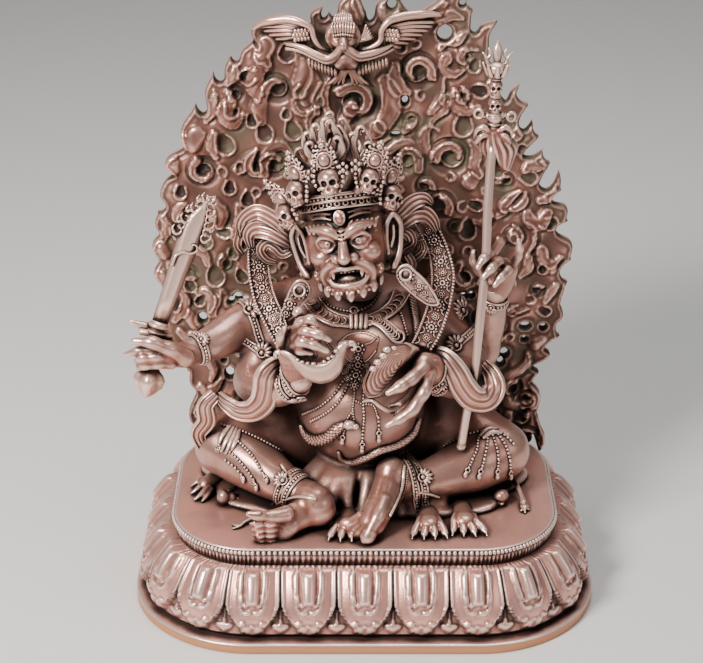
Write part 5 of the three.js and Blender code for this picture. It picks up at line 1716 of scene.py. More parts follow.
def hugged(centre, axis, clays, count, lift, reach):
    """A ring about a limb: from its middle outwards until the surface, at right angles to an axis."""
    pose = facing(axis, UP if abs(unit(axis)[2]) < 0.9 else BACK)
    angles = circle(count)
    ways = pose[:, 0] * np.cos(angles)[:, None] + pose[:, 1] * np.sin(angles)[:, None]
    far = np.full(count, 2.0)
    for _ in range(60):
        gap = nearest(np.asarray(centre) + ways * far[:, None], clays)
        far += np.where((gap < 0) & (far < reach), np.clip(-0.8 * gap, 0.15, 3), 0)
    return np.asarray(centre) + ways * (far + lift)[:, None], ways


def beads(heap, ball, line, radius, closed=False):
    """Balls that touch along a line."""
    line = np.asarray(line, float)
    ends = np.vstack([line, line[:1]]) if closed else line
    length = np.linalg.norm(np.diff(ends, axis=0), axis=1).sum()
    count = max(2, int(length / (2.05 * radius)))
    scatter(heap, ball, curve(line, count, closed), radius)


def loop_about(spot, out, radius, count=12, up=UP):
    """A circle on a surface."""
    pose = facing(out, up)
    angles = circle(count)
    ways = pose[:, 0] * np.cos(angles)[:, None] + pose[:, 1] * np.sin(angles)[:, None]
    return np.asarray(spot) + radius * ways


def ring_on(heap, spot, out, radius, thick, count, sides):
    """A thin ring that lies on a surface."""
    tube(heap, loop_about(spot, out, radius, count), thick, sides, closed=True)


def rosette(heap, ball, spot, out, radius):
    """A round flower: a pierced middle and petals about it."""
    ring_on(heap, spot, out, 0.36 * radius, 0.17 * radius, 10, 6)
    scatter(heap, ball, loop_about(spot, out, 0.8 * radius, 10), 0.22 * radius)


def strip(heap, line, across, out, section):
    """A solid band along a line. For each place the section has offsets (across, out) round the band."""
    rings = line[:, None] + across[:, None] * section[..., :1] + out[:, None] * section[..., 1:]
    capped(heap, rings, [rings[0].mean(0), rings[-1].mean(0)])


def folds(width, depth, count, columns=24, thick=1.4):
    """A band's section: flat folds with narrow grooves in front, and thinner ones behind."""
    t = np.linspace(-1, 1, columns)
    bent = t + 0.09 * np.sin(2.6 * np.pi * t)
    wave = np.abs(np.cos(0.5 * np.pi * (bent * count + (count + 1) % 2)))
    front = depth * wave ** 0.45 + 0.3 * thick
    behind = -0.6 * front - 0.3 * thick
    ends = np.sqrt(np.clip(1 - t ** 10, 0, 1))
    return np.vstack([np.column_stack([t * width, behind * ends]),
                      np.column_stack([t * width, front * ends])[::-1]])


# The sword

POMMEL = np.array([-112.5, -23, 131])
GUARD = np.array([-109, -19, 151])
SWORD_AIM = np.array([-82, -1, 223])
# Turned parts: the distance along the sword and the radius there.
POMMEL_PROFILE = [(-14, 0.6), (-12, 3.2), (-8, 6.6), (-4, 7.6), (-1, 6.4), (1, 4.6), (3, 3.6), (7, 3.3),
                  (12, 3.4), (17, 3.3)]
GUARD_PROFILE = [(-4, 3.6), (-3, 4.4), (-1.6, 4.4), (-1.2, 3.8), (0, 3.8), (0.4, 5.0), (1.8, 5.2),
                 (2.2, 4.2), (3.6, 4.2), (4.0, 5.4), (5.4, 5.6), (6, 4.6), (7, 4.4)]
# The blade: distance from the guard, half-width, and how far the middle leans aside.
BLADE = [(6, 4.3, 0), (20, 4.7, 0), (36, 5.4, 0), (50, 6.2, 0), (59, 6.7, 0), (65, 6.2, -0.5),
         (70, 3.6, -1.4), (75, 0.4, -2.4)]
BLADE_SECTION = [(-0.35, -1.5), (0.35, -1.5), (1, 0), (0.35, 1.5), (-0.35, 1.5), (-1, 0)]
# The hook scroll on the blade: along and across.
HOOK = [(38, 4.5), (44, 3.8), (46, 1), (46.5, -3), (49, -5.5), (51.5, -4), (51, -2)]
CURLS_A_SIDE = 7


def turned_part(heap, base, way, profile, sides, lobes=0, depth=0.0):
    """A part turned about a line, its round drawn in or out in lobes."""
    pose = facing(way, BACK)
    angles = circle(sides)
    spokes = pose[:, 0] * np.cos(angles)[:, None] + pose[:, 1] * np.sin(angles)[:, None]
    spokes = spokes * (1 + depth * np.cos(lobes * angles))[:, None]
    rings = np.array([base + way * along + spokes * radius for along, radius in profile])
    capped(heap, rings, [base + way * profile[0][0], base + way * profile[-1][0]])


def make_sword():
    heap = Heap()
    way = unit(SWORD_AIM - GUARD)
    wide = unit(np.cross(way, np.cross([0.3, -1, 0.2], way)))
    side = unit(np.cross(wide, way))
    # A lotus bud for a pommel, the grip, a stepped collar and the crossbar.
    turned_part(heap, POMMEL, unit(GUARD - POMMEL), POMMEL_PROFILE, 32, lobes=4, depth=0.13)
    turned_part(heap, GUARD, way, GUARD_PROFILE, 24)
    tube(heap, [GUARD - side * 8.5 + way, GUARD + side * 8.5 - way], [1.9, 1.9], 10)
    # The blade: four bevels about a ridge, widening to a slanted point.
    rings = [[GUARD + way * along + side * (lean + u * half) + wide * w for u, w in BLADE_SECTION]
             for along, half, lean in BLADE]
    rings = np.array(rings)
    capped(heap, rings, [rings[0].mean(0), rings[-1].mean(0)])
    # The hook scroll on the blade and the chain of flames round its point.
    hook = [GUARD + way * along + side * across + wide * 1.9 for along, across in HOOK]
    tube(heap, curve(hook, 22), np.linspace(0.9, 0.5, 22), 6)
    for sign in (-1, 1):
        for n in range(CURLS_A_SIDE):
            t = n / (CURLS_A_SIDE - 1)
            across = sign * (7.6 - 6.6 * t ** 1.5) - 2.4 * t
            place = GUARD + way * (56 + 20 * t) + side * across + wide * 0.6
            turns = np.linspace(0.4, 0.4 + 1.45 * np.pi, 12) * (1 if n % 2 else -1)
            spin = side * sign * np.cos(turns)[:, None] + way * np.sin(turns)[:, None]
            curl = place + (2.1 - 0.5 * t) * spin
            tube(heap, curl, np.linspace(0.85, 0.45, 12), 6)
            tip = [curl[0] + side * sign * a + way * b for a, b in ((0, 0), (1.1, 1.6), (0.5, 3.4))]
            tube(heap, tip, [0.8, 0.65, 0.3], 5)
    return heap.piece("sword_blade", "sword")


# The staff

STAFF = np.array([
    (51.5, -23, 87), (53.5, -23, 104), (57, -22, 128), (60, -17, 160), (62.5, -9, 190), (63, -4, 216),
    (64.4, 1.5, 239.5), (65, 3, 247),
])
TRIDENT_FOOT = np.array([65.2, 3.4, 250.6])
TRIDENT_AIM = np.array([0.3, 1.0, 12.0])


def staff_frame(top, way):
    """Gives places from a point of the staff: up along it, to the right and forward."""
    def at_height(height, across=0.0, forward=0.0):
        return top + way * height + RIGHT * across - BACK * forward
    return at_height


def staff_cloth(heap, top, on_staff):
    """The cloth gathered under the crossed thunderbolts, with the loops of its bow."""
    clay = Clay(top + (-16, -12, -14), top + (18, 24, 26), 0.6)

    def limb(rows, count, blend):
        clay.limb([(*on_staff(*place), radius) for *place, radius in rows], count, blend=blend)

    limb([(-7, 8, -7, 2), (-2, 6, -8, 6), (5, 4, -7, 8.4), (11, 1.5, -2.5, 6.0), (16, 0, 0, 3.2)], 12, 1)
    for n in range(14):
        a = 2 * np.pi * n / 14
        c, s = math.cos(a), math.sin(a)
        limb([(-5 - 2 * c, 7 + 3 * c, 3 * s - 7, 0.9), (-1, 5.5 + 6.2 * c, 6.2 * s - 8, 1.2),
              (5, 4 + 8.8 * c, 8.6 * s - 7, 1.3), (11, 1.5 + 6.2 * c, 5.8 * s - 2.5, 1.1),
              (15, 3 * c, 3 * s, 1.0)], 12, 0.6)
    for side in (-1, 1):
        limb([(15, side * 2, 2, 1.5), (18, side * 5.5, 3, 1.6), (16, side * 8.5, 2, 1.4),
              (11.5, side * 9, 0, 1.0)], 9, 0.6)
        limb([(14, side * 2, 2, 1.3), (13.5, side * 6, 3, 1.5), (9.5, side * 8.5, 1, 1.1)], 9, 0.6)
    clay.mesh(heap)


def trident(heap, skull, ball):
    """Two heads, the cup of petals and the trident."""
    at_height = staff_frame(TRIDENT_FOOT, unit(TRIDENT_AIM))
    scatter(heap, skull, [at_height(17.5), at_height(26.5)], 0.72)
    for height, radius in ((12.5, 3.6), (22, 3.2), (31, 3.2)):
        scatter(heap, ball, at_height(height)[None], np.array([[radius, radius, 1.3]]))
    tube(heap, [at_height(height) for height in (31, 33.5, 36, 38)], [2.4, 4.2, 5.4, 5.0], 16)
    for n in range(8):
        a = 2 * np.pi * n / 8
        petal = [at_height(height, r * math.cos(a), r * math.sin(a))
                 for height, r in ((33, 3.6), (36.5, 5.6), (39.5, 7.2))]
        tube(heap, curve(petal, 6), np.linspace(1.7, 0.5, 6), 7)
    tube(heap, [at_height(height) for height in (37, 40, 45, 50.5)], [1.4, 1.8, 2.6, 0.4], 8,
         across=RIGHT, flat=0.7)
    for side in (-1, 1):
        prong = [at_height(height, side * across)
                 for height, across in ((37.5, 1.2), (38.5, 4.2), (41, 4.9), (43.5, 3.4), (46.5, 4.6))]
        tube(heap, curve(prong, 16), np.linspace(1.5, 0.4, 16), 8)
        barb = [at_height(height, side * across)
                for height, across in ((41, 4.9), (43.5, 6.6), (44.5, 7.6))]
        tube(heap, curve(barb, 6), np.linspace(1.2, 0.3, 6), 6)


def make_staff(skull, ball):
    heap = Heap()
    line = curve(STAFF, 44)
    tube(heap, line, 2.35, 14)
    scatter(heap, ball, line[:1], np.array([[2.9, 2.9, 2.4]]))
    on_staff = staff_frame(STAFF[-2], unit(STAFF[-1] - STAFF[-3]))
    staff_cloth(heap, STAFF[-2], on_staff)
    # Crossed thunderbolts with ringed ends.
    for side in (-1, 1):
        for across, radius in ((3.2, 2.3), (5.4, 1.7)):
            scatter(heap, ball, on_staff(23, side * across, 1)[None], radius)
        ring_on(heap, on_staff(23.5 - 0.8 * side, side * 8.3, 1.5), (side * 0.4, -1, 0), 2.3, 0.9, 12, 8)
    scatter(heap, ball, on_staff(22.5, 0, 2)[None], np.array([[4.0, 4.2, 3.4]]))
    scatter(heap, ball, on_staff(19)[None], np.array([[4.6, 4.6, 1.6]]))
    trident(heap, skull, ball)
    return heap.piece("khatvanga_staff", "trident_staff")


# The curved knife, in pixels

KNIFE_EDGE = [(276, 352), (287, 358), (297, 370), (307, 379), (320, 383.5), (333, 380), (342, 370),
              (345, 358), (349, 347), (354, 343.5)]
KNIFE_BACK = [(276, 351), (286, 350.5), (296, 355), (306, 361), (317, 363), (327, 360), (333, 353),
              (338, 345), (346, 341), (353, 343.0)]
# Its section: the share of the way from back to edge, and the depth in front.
KNIFE_SECTION = ((0, 0.6), (0.04, 1.7), (0.2, 2.3), (0.45, 2.1), (0.75, 1.2), (1, 0.3), (1, -0.3),
                 (0.75, -1.2), (0.45, -2), (0.2, -2.2), (0.04, -1.7), (0, -0.6))
KNIFE_DEPTH = -45
KNIFE_HORN = ((349, 343.5), (353, 343.5), (355, 346.5), (353, 349.5), (351, 348))
KNIFE_HEEL = ((280, 352), (276, 353), (275.5, 355.5), (277.5, 357))
# Scallops on the back, each with its half-width.
SCALLOPS = ((297.5, 359.5, 1.3), (302, 361.6, 1.5), (307.5, 363, 1.3), (313.5, 363.6, 1.7),
            (324.5, 361.4, 1.5), (328.5, 358, 1.3), (332.5, 356, 1.7), (336, 351, 1.5))
KNIFE_HANDLE = ((314, 358, -40), (309, 345, -39), (303, 328, -38), (300, 320, -38))
KNIFE_KNOBS = ((301, 322, 3.6), (299.5, 317, 2.6), (298.5, 312.5, 3.4))


def make_knife(ball):
    """The crescent knife, its back scalloped, with a horn at its right and a knob over the hand."""
    heap = Heap()
    rings = []
    edge, back = curve_2d(KNIFE_EDGE, 44), curve_2d(KNIFE_BACK, 44)
    for (u0, v0), (u1, v1), t in zip(back, edge, np.linspace(0, 1, 44)):
        front = KNIFE_DEPTH - 3.5 * math.sin(math.pi * t)
        top, low = seen(u0, v0, front), seen(u1, v1, front)
        full = min(1.0, np.linalg.norm(low - top) / 6)
        rings.append([top + (low - top) * share - BACK * depth * full for share, depth in KNIFE_SECTION])
    heap.add(np.vstack(rings), [grid_faces(len(rings), len(KNIFE_SECTION), True)])
    # The curled horn's end, the heel and the scallops on the back.
    for pixels, count, start, end in ((KNIFE_HORN, 14, 1.7, 0.9), (KNIFE_HEEL, 10, 1.6, 0.8)):
        line = curve([seen(u, v, KNIFE_DEPTH) for u, v in pixels], count)
        tube(heap, line, np.linspace(start, end, count), 8)
    for u, v, half in SCALLOPS:
        scatter(heap, ball, seen(u, v, -49.8)[None], np.array([[half, 1.3, 0.95]]))
    # The handle's knob of half a thunderbolt.
    tube(heap, curve(seen_all(KNIFE_HANDLE), 12), 2.4, 10)
    for u, v, radius in KNIFE_KNOBS:
        scatter(heap, ball, seen(u, v, -38)[None], radius)
    return heap.piece("curved_knife")


# The skull cup, in pixels

BOWL_RIM = [(412, 347), (404, 361), (393, 374), (384, 387), (375, 396), (367, 396), (362.5, 387),
            (365.5, 375), (373, 362.5), (381, 352), (392, 345.5), (404, 343)]
# The shell under the rim: how deep and how wide it is there.
BOWL_SHELL = ((-0.8, 0.9), (0.5, 0.97), (0.0, 1.0), (2.2, 1.04), (6, 1.03), (11, 0.93), (15, 0.75),
              (18, 0.45), (19, 0.1))
BOWL_DROPS = ((386, 349, 2.2), (382.5, 355, 2.3), (377, 361.5, 2.2), (372.5, 368, 2.0), (393, 347.5, 1.7))
BOWL_CLOTH = ((364, 401, -43), (372, 400, -46), (380, 406, -46), (391, 411, -44), (403, 406, -40),
              (410, 398, -36))


def make_bowl(ball):
    """The skull cup: an outer shell, a thick rim, and waves that fill it."""
    def rim_place(u, v):
        return seen(u, v, -46 + 0.16 * (u - 363) - 0.05 * (v - 343))

    heap = Heap()
    edge = np.array([rim_place(u, v) for u, v in curve_2d(BOWL_RIM, 60)])
    centre = edge.mean(0)
    out = -unit(np.cross(edge[5] - centre, edge[20] - centre))
    if out[1] > 0:
        out = -out
    down = unit(np.array([0.62, 0.9, -0.55]))
    rows = []
    for depth, size in BOWL_SHELL:
        rows.append(centre + (edge - centre) * size + (down * depth if depth > 0 else out * -depth * 1.2))
    heap.add(np.vstack(rows), [grid_faces(len(rows), 60, True)])
    # Waves: rims nested towards the upper end.
    anchor = centre + (edge[2] - centre) * 0.62
    far = np.linalg.norm(edge - anchor, axis=1, keepdims=True)
    inner = []
    for n, size in enumerate(np.linspace(0.93, 0.04, 46)):
        wave = 0.36 * math.cos(2 * math.pi * n / 5) * np.clip(far / far.max() - 0.12, 0, 1)
        inner.append(anchor + (edge - anchor) * size + out * (0.9 + 2.6 * math.sqrt(1 - size**2) + wave))
    heap.add(np.vstack(inner), [grid_faces(46, 60, True)])
    for u, v, radius in BOWL_DROPS:
        scatter(heap, ball, (rim_place(u, v) + out * 1.4)[None], np.array([[1.15, 0.8, 0.85]]) * radius)
    # The fold of cloth in the palm, on which the cup rests.
    tube(heap, curve(seen_all(BOWL_CLOTH), 24), np.linspace(1.1, 2.6, 24), 10, across=BACK, flat=0.7)
    return heap.piece("skull_cup")


# Cloth. Rows are pixels, each with a depth; a scarf's rows also have a half-width.

SCARVES = (
    # Over the forearm of the knife hand, down in a fall of folds and out to the side.
    [(284, 364, -20, 4.5), (275, 367, -26, 6), (268, 376, -29, 7), (266, 390, -29, 7.2),
     (262, 403, -28, 7.2), (252, 411, -27, 6.6), (238, 411, -25, 5.6), (227, 404, -21, 4.4),
     (219, 396, -15, 3)],
    # Over the wrist of the bowl hand, in a loop under the elbow and out behind the staff.
    [(433, 352, -16, 3.5), (444, 357, -24, 5.4), (455, 371, -28, 6.6), (464, 388, -28, 7.2),
     (475, 399, -27, 7.4), (487, 399, -25, 7.2), (494, 388, -21, 6.4), (491, 374, -15, 5),
     (484, 364, -9, 3.5)],
    # An end that hangs at the left on the base.
    [(216, 394, -16, 4), (206, 405, -18, 5), (207, 420, -17, 5.2), (199, 434, -14, 4.6),
     (204, 447, -12, 3.4)],
)
# The stole's outer and inner hem, on the left and on the right.
STOLE = (
    ([(254, 228, 24), (249.5, 245, 18), (248.5, 263, 8), (250.5, 283, -1), (256, 303, -8),
      (264, 320, -14), (273, 337, -20), (283, 352, -24)],
     [(269, 225, 24), (268, 244, 19), (268, 262, 10), (270.5, 281, 1), (276, 298, -8), (283, 313, -14),
      (288, 330, -20), (290, 346, -26)]),
    ([(432, 218, 26), (441, 234, 21), (449, 254, 13), (453.5, 275, 5), (451, 297, -4), (446, 315, -10),
      (439, 334, -17), (430, 350, -23)],
     [(415, 224, 26), (424, 240, 21), (429.5, 257, 13), (431.5, 277, 4), (429.5, 296, -5),
      (425, 312, -12), (418.5, 329, -19), (412, 343, -24)]),
)
# Its section: the share of the half-width, and the height.
STOLE_SECTION = [(-1, -1.2), (1, -1.2), (1.02, 0), (1, 1.5), (0.9, 1.6), (0.84, 0.5), (0.4, 0.9),
                 (0, 1.0), (-0.4, 0.9), (-0.84, 0.5), (-0.9, 1.6), (-1, 1.5), (-1.02, 0)]


def make_scarves():
    heap = Heap()
    for places in SCARVES:
        rows = curve(placed(places), 60)
        line = rows[:, :3]
        ways = np.gradient(line, axis=0)
        for _ in range(6):
            ways = (np.vstack([ways[:1], ways[:-1]]) + ways + np.vstack([ways[1:], ways[-1:]])) / 3
        # The band lies across its way in the photograph's plane and stays square to the line.
        along = unit(np.gradient(line, axis=0))
        across = unit(np.column_stack([-ways[:, 2], 0 * ways[:, 1], ways[:, 0]]))
        side = unit(across - along * np.sum(across * along, axis=1, keepdims=True))
        out = np.cross(along, side)
        if out[len(out) // 2] @ LOOK > 0:
            out = -out
        flip = np.sum(np.cross(along, side) * out) < 0
        sections = np.array([folds(half, 1.5, 4) for half in rows[:, 3]])
        strip(heap, line, -side if flip else side, out, sections)
    return heap.piece("scarves")


def make_stole(ball):
    """The brocade band that stands out behind the shoulders, hemmed with pearls and set with rosettes."""
    heap = Heap()
    for outer, inner in STOLE:
        outer = curve(seen_all(outer), 60)
        inner = curve(seen_all(inner), 60)
        line = (outer + inner) / 2
        half = np.linalg.norm(outer - inner, axis=1) / 2
        across = unit(outer - inner)
        ways = unit(np.gradient(line, axis=0))
        out = unit(np.cross(ways, across))
        flip = out[30] @ LOOK > 0
        out = -out if flip else out
        section = np.array([[(share * h, height) for share, height in STOLE_SECTION] for h in half])
        strip(heap, line, -across if flip else across, out, section)
        beads(heap, ball, outer + out * 1.6, 0.85)
        beads(heap, ball, inner + out * 1.4, 0.6)
        for n in range(5, 58, 5):
            rosette(heap, ball, line[n] + out[n] * 1.3, out[n], (3.4, 2.3)[n // 5 % 2])
            for sign in (-1, 1):
                middle = line[n + 2] + out[n] * 1.1
                arc = [middle + across[n] * sign * half[n] * share + ways[n] * along
                       for along, share in ((-1.6, 0.78), (-0.4, 0.5), (1.2, 0.5), (2.4, 0.78))]
                tube(heap, curve(arc, 8), 0.4, 5)
    return heap.piece("stole")


# Small heads, hands and claws of the flayed skins, lying on the plinth. Rows are a pixel, a height above
# the plinth's top and a radius.

LEFT_PAW = (
    ((209, 487, 3.6, 1.8), (202, 494, 3, 1.7), (194.5, 500, 1.2, 0.6)),
    ((206, 483, 4, 1.8), (198, 489, 3, 1.7), (191, 494, 1.2, 0.6)),
    ((206, 479, 4.4, 1.8), (198, 482, 3.4, 1.7), (191, 487, 1.2, 0.6)),
    ((211, 490, 2.6, 1.8), (207, 496, 2.2, 1.6), (202, 501.5, 1.0, 0.6)),
)
LEFT_WRIST = ((218, 476, 4, 4), (212, 480, 4, 4.4), (205, 485, 3.4, 4))
LEFT_FACE = ((236.5, 494.5, 4.2, 1.1), (238.5, 498.5, 3.4, 1.0), (236, 502, 2.0, 1.3),
             (232, 504, 1.6, 1.4))
LEFT_TUFT = ((229, 491, 5, 1.3), (235, 487, 5.6, 1.0), (241, 480, 6.6, 0.9))
RIGHT_ARM = ((511, 478, 6.5, 1.3), (517, 486, 6, 1.4), (521.5, 497, 4, 1.5), (523.5, 503, 2.6, 2.0))
RIGHT_FINGERS = ((521, 511), (525, 512.5), (529, 510))
# A twig beside the toes, and its fork.
TWIGS = (
    (((252, 518.5, 2.4, 1.1), (245, 522, 1.8, 1.0), (239.5, 526.5, 1.0, 0.9), (233, 528.5, 0.8, 0.5)),
     12),
    (((240, 526, 1.2, 0.8), (235, 525.5, 1.0, 0.7), (232.5, 523.5, 1.0, 0.4)), 7),
)


def grounded(u, v, z):
    """The place at height z that the photograph shows at pixel (u, v)."""
    ray = seen(u, v, 0) - EYE
    return EYE + ray * ((z - EYE[2]) / ray[2])


def lying(rows):
    """Places at pixels and heights above the plinth's top, each with a radius."""
    return [(*grounded(u, v, FLOOR + up), radius) for u, v, up, radius in rows]


def make_relics(skull):
    heap = Heap()
    # At the left a head with its face to the right, an arm behind it, and a paw.
    middle = grounded(212, 491, FLOOR)
    clay = Clay(middle + (-16, -24, -0.9), middle + (24, 14, 13), 0.6)
    clay.ball(grounded(223.5, 497.5, FLOOR + 4.2), (3.7, 3.8, 4.5), blend=0.8)
    clay.ball(grounded(232, 498, FLOOR + 3.4), (2.7, 2.8, 3.4), blend=1)
    for row in LEFT_FACE:
        clay.limb(lying((row, row)), 2, blend=0.5)
    clay.limb(lying(LEFT_TUFT), 8, blend=0.6)
    clay.limb(lying(LEFT_WRIST), 8, blend=2)
    for claw in LEFT_PAW:
        clay.limb(lying(claw), 10, blend=0.5)
    clay.mesh(heap)
    # At the right a skull and a small arm that hangs over the skin's edge.
    middle = grounded(520, 494, FLOOR)
    clay = Clay(middle + (-9, -28, -0.9), middle + (10, 13, 12), 0.6)
    clay.limb(lying(RIGHT_ARM), 12, blend=0.8)
    clay.ball(grounded(524.5, 506.5, FLOOR + 1.8), (2.5, 2.6, 1.5), blend=0.8)
    for u, v in RIGHT_FINGERS:
        clay.limb(lying(((524.5, 507, 1.8, 1.1), (u, v, 0.9, 0.7))), 5, blend=0.4)
    clay.mesh(heap)
    turn = turned(0, 0, -48) @ turned(14, 0, 0)
    scatter(heap, skull, grounded(501, 498, FLOOR + 4.2)[None], 0.8, turn[None])
    for rows, count in TWIGS:
        line = curve(lying(rows), count)
        tube(heap, line[:, :3], line[:, 3], 7)
    return heap.piece("base_relics")


# Ribbons, hair curls and earrings beside the head. Rows are pixels, each with a depth and a half-width.

# The grooved cloths: how many folds, then the rows.
RIBBONS = (
    # At the left: a loop, two tails and the streamer over the stole.
    (3, [(292, 238, 2, 3), (282, 226, 2, 3.6), (270, 217, 4, 4), (257, 212, 6, 4), (247, 216, 8, 3.6),
         (241, 226, 10, 3), (242, 236, 11, 1.6)]),
    (3, [(291, 244, 0, 3), (279, 237, 0, 3.8), (266, 231, 2, 4.4), (254, 230, 5, 4.2), (249, 237, 8, 3),
         (251, 247, 9, 1.6)]),
    (3, [(291, 250, 2, 2.6), (283, 253, 2, 3), (276, 247, 3, 3), (268, 243, 5, 3), (262, 250, 7, 3),
         (268, 259, 8, 2.6), (277, 262, 8, 1.4)]),
    (2, [(246, 222, 9, 2.6), (240, 234, 11, 2.4), (238, 247, 13, 2), (243, 254, 14, 1.2)]),
    # At the right.
    (3, [(392, 224, 2, 3), (402, 212, 3, 3.6), (412, 203, 5, 4), (424, 199, 8, 3.4),
         (431, 204, 11, 1.6)]),
    (3, [(393, 231, 0, 3), (403, 222, 1, 3.8), (414, 215, 3, 4.2), (425, 214, 6, 4), (433, 221, 9, 3),
         (437, 230, 11, 1.6)]),
    (3, [(393, 238, 1, 2.4), (401, 231, 1, 2.8), (408, 234, 2, 3), (411, 242, 3, 3), (404, 247, 4, 3),
         (399, 254, 4, 3), (405, 262, 5, 3), (415, 258, 6, 2.8), (423, 249, 8, 2.4), (421, 240, 9, 1.4)]),
    (2, [(407, 254, 3, 2), (412, 264, 3, 2.4), (408, 272, 3, 2.6), (399, 270, 4, 2.4),
         (396, 262, 5, 1.4)]),
)
# The earrings: outline, pierced hole, and flowers with a radius each, all at one depth.
EARRING_DEPTH = -16
EARRINGS = (
    ([(306, 282), (309.5, 290), (306, 299), (299, 308), (291, 318), (283, 322), (281, 316), (285, 306),
      (288, 297), (292, 288), (298, 281)],
     (299.5, 291), ((290, 304, 3.3), (286, 313, 2.6), (295, 313, 1.8), (293, 296.5, 1.6))),
    ([(397, 273), (401, 266.5), (408, 265.5), (414, 271), (421, 277), (428, 285), (435, 296), (438, 304),
      (430, 304.5), (420, 299), (409, 290), (400, 281)],
     (405.5, 275),
     ((419, 286, 2.5), (424, 293, 2.3), (430, 299, 1.9), (415, 292, 1.5), (426, 287, 1.3),
      (413, 281.5, 1.5))),
)
# Pendants that hang from the ears' lobes.
PENDANTS = ((303, 274, -6), (304, 283, -10), (389, 262, -6), (394, 269, -9))


def ribbon(heap, places, lines, depth=0.8):
    """A narrow cloth with grooves along it."""
    rows = curve(placed(places), 6 * len(places))
    line = rows[:, :3]
    ways = unit(np.gradient(line, axis=0))
    out = unit(-LOOK - ways * (ways @ -LOOK)[:, None])
    across = np.cross(out, ways)
    t = np.linspace(-1, 1, 4 * lines + 1)
    front = depth * (0.5 + 0.5 * np.cos(2 * np.pi * lines * t / 2 + np.pi * (lines % 2))) + 0.4
    behind = -0.6 * front - 0.36
    sections = [np.vstack([np.column_stack([t * w, front]), np.column_stack([t * w, behind])[::-1]])
                for w in rows[:, 3]]
    strip(heap, line, -across, out, np.array(sections))


def earring(heap, ball, edge, hole, flowers):
    """A domed flap with a pierced ring at its head and a filigree tail of flowers."""
    toward = -LOOK
    outline = curve([(u, v, 0) for u, v in edge], 48, closed=True)
    rim = np.array([seen(u, v, EARRING_DEPTH) for u, v, _ in outline])
    middle = rim.mean(0)
    tube(heap, rim, 0.8, 7, closed=True)
    profile = ((1, -1.2), (0.97, 0.2), (0.7, 0.7), (0.35, 0.9), (0.02, 1.0))
    front = [middle + (rim - middle) * size + toward * rise for size, rise in profile]
    heap.add(np.vstack(front), [grid_faces(len(front), 48, True)[:, ::-1]])
    behind = [middle + (rim - middle) * size - toward * 1.2 for size in (1, 0.02)]
    heap.add(np.vstack(behind), [grid_faces(2, 48, True)])
    spot = seen(*hole, EARRING_DEPTH) + toward * 1.6
    tube(heap, loop_about(spot, toward, 2.9, 16), 0.8, 7, closed=True)
    scatter(heap, ball, loop_about(spot, toward, 4.2, 12), 0.5)
    for u, v, radius in flowers:
        rosette(heap, ball, seen(u, v, EARRING_DEPTH) + toward * 1.3, toward, radius)


def make_ribbons(ball):
    heap = Heap()
    for lines, places in RIBBONS:
        ribbon(heap, places, lines)
    for edge, hole, flowers in EARRINGS:
        earring(heap, ball, edge, hole, flowers)
    scatter(heap, ball, seen_all(PENDANTS), 1.9)
    return heap.piece("ribbons")


# Jewels laid on the body. Rows are pixels of the photograph; the clay gives their depths.

NECKLACE = [(322, 299), (329, 306), (341, 310.5), (354, 312), (366, 308.5), (375, 300), (379, 293)]
NECKLACE_RING = [(353, 311), (355, 311)]
# Collar plates: their upper and lower edges, and the gap between hoops.
COLLARS = (
    ([(321, 298), (329, 308), (339, 314), (350, 317)], [(303, 304), (313, 317), (327, 325.5), (350, 328)],
     6),
    ([(367, 316), (378, 311), (387, 303), (392, 292)], [(369, 327), (388, 320), (402, 308), (411, 295)],
     6),
    ([(371, 315.5), (381, 318), (392, 325), (401, 333)], [(367, 323), (377, 327), (386, 335), (393, 342)],
     4),
)
# How far the rows across a collar stand out, and those across the breastplate.
COLLAR_LIFTS = (-1.0, 0.9, 1.9, 1.9, 1.0, 0.9, 0.9, 1.0, 1.9, 1.9, 0.9, -1.0)
BREAST_LIFTS = (-0.6, 0.3, 0.5, 0.5, 0.5, 0.5, 0.5, 0.3, -0.6)
STRAP_RING = [(397, 335), (399, 339)]
CLASP_COLUMNS = (351, 356, 361, 366)
BREASTPLATE = ([(337, 342), (349, 330), (366, 329), (380, 337)],
               [(343, 353), (352, 366), (364, 366), (376, 352)])
BREAST_BEADS = [(366, 344), (372, 342), (378, 336.5)]
# The flowered chain: places with a radius, and rosettes beside it.
CHAIN = ((359, 348, 2.2), (358, 357, 1.5), (358, 364.5, 2.0), (356, 376, 2.1), (354.5, 386, 1.5))
CHAIN_ROSETTES = ((350, 366), (366, 365), (348, 379), (362, 380), (346, 372), (369, 372))
# Strings of pearls down the chest and over the belly, each with the pearls' radius.
PEARL_STRINGS = (
    ([(397, 309), (401, 316), (404, 325), (407, 335)], 0.75),
    ([(348, 385), (340, 400), (328, 412), (312, 421)], 0.8),
    ([(343, 382), (333, 396), (321, 406), (304, 414)], 0.8),
    ([(355, 388), (354, 399), (353, 411), (354, 419)], 0.6),
    ([(364, 389), (363, 402), (364, 416), (363, 430)], 0.75),
    ([(354, 400), (363, 404), (372, 405), (378, 418)], 0.6),
    ([(353, 411), (348, 418), (346, 428)], 0.6),
    ([(327, 343), (333, 352), (338, 362), (343, 374)], 0.6),
    ([(303, 338), (307, 348), (312, 355)], 0.6),
)
BELLY_TASSELS = (
    [(345.5, 427), (344, 432), (342.5, 441)],
    [(363, 430), (362.5, 438), (362, 449)],
    [(378, 417), (378.5, 427), (378.5, 439)],
)
SNAKE = [(303, 424), (307, 432), (316, 438.5), (328, 436.5), (338, 428), (345, 423)]
SNAKE_HEAD = [(350, 424)]
SNAKE_BELT = [(339, 450), (342, 457), (351, 460.5), (364, 456.5), (378, 449.5), (398, 443), (412, 432),
              (418, 418)]
BREAST_CORD = [(411, 297), (413.5, 310), (415, 325), (416, 342)]
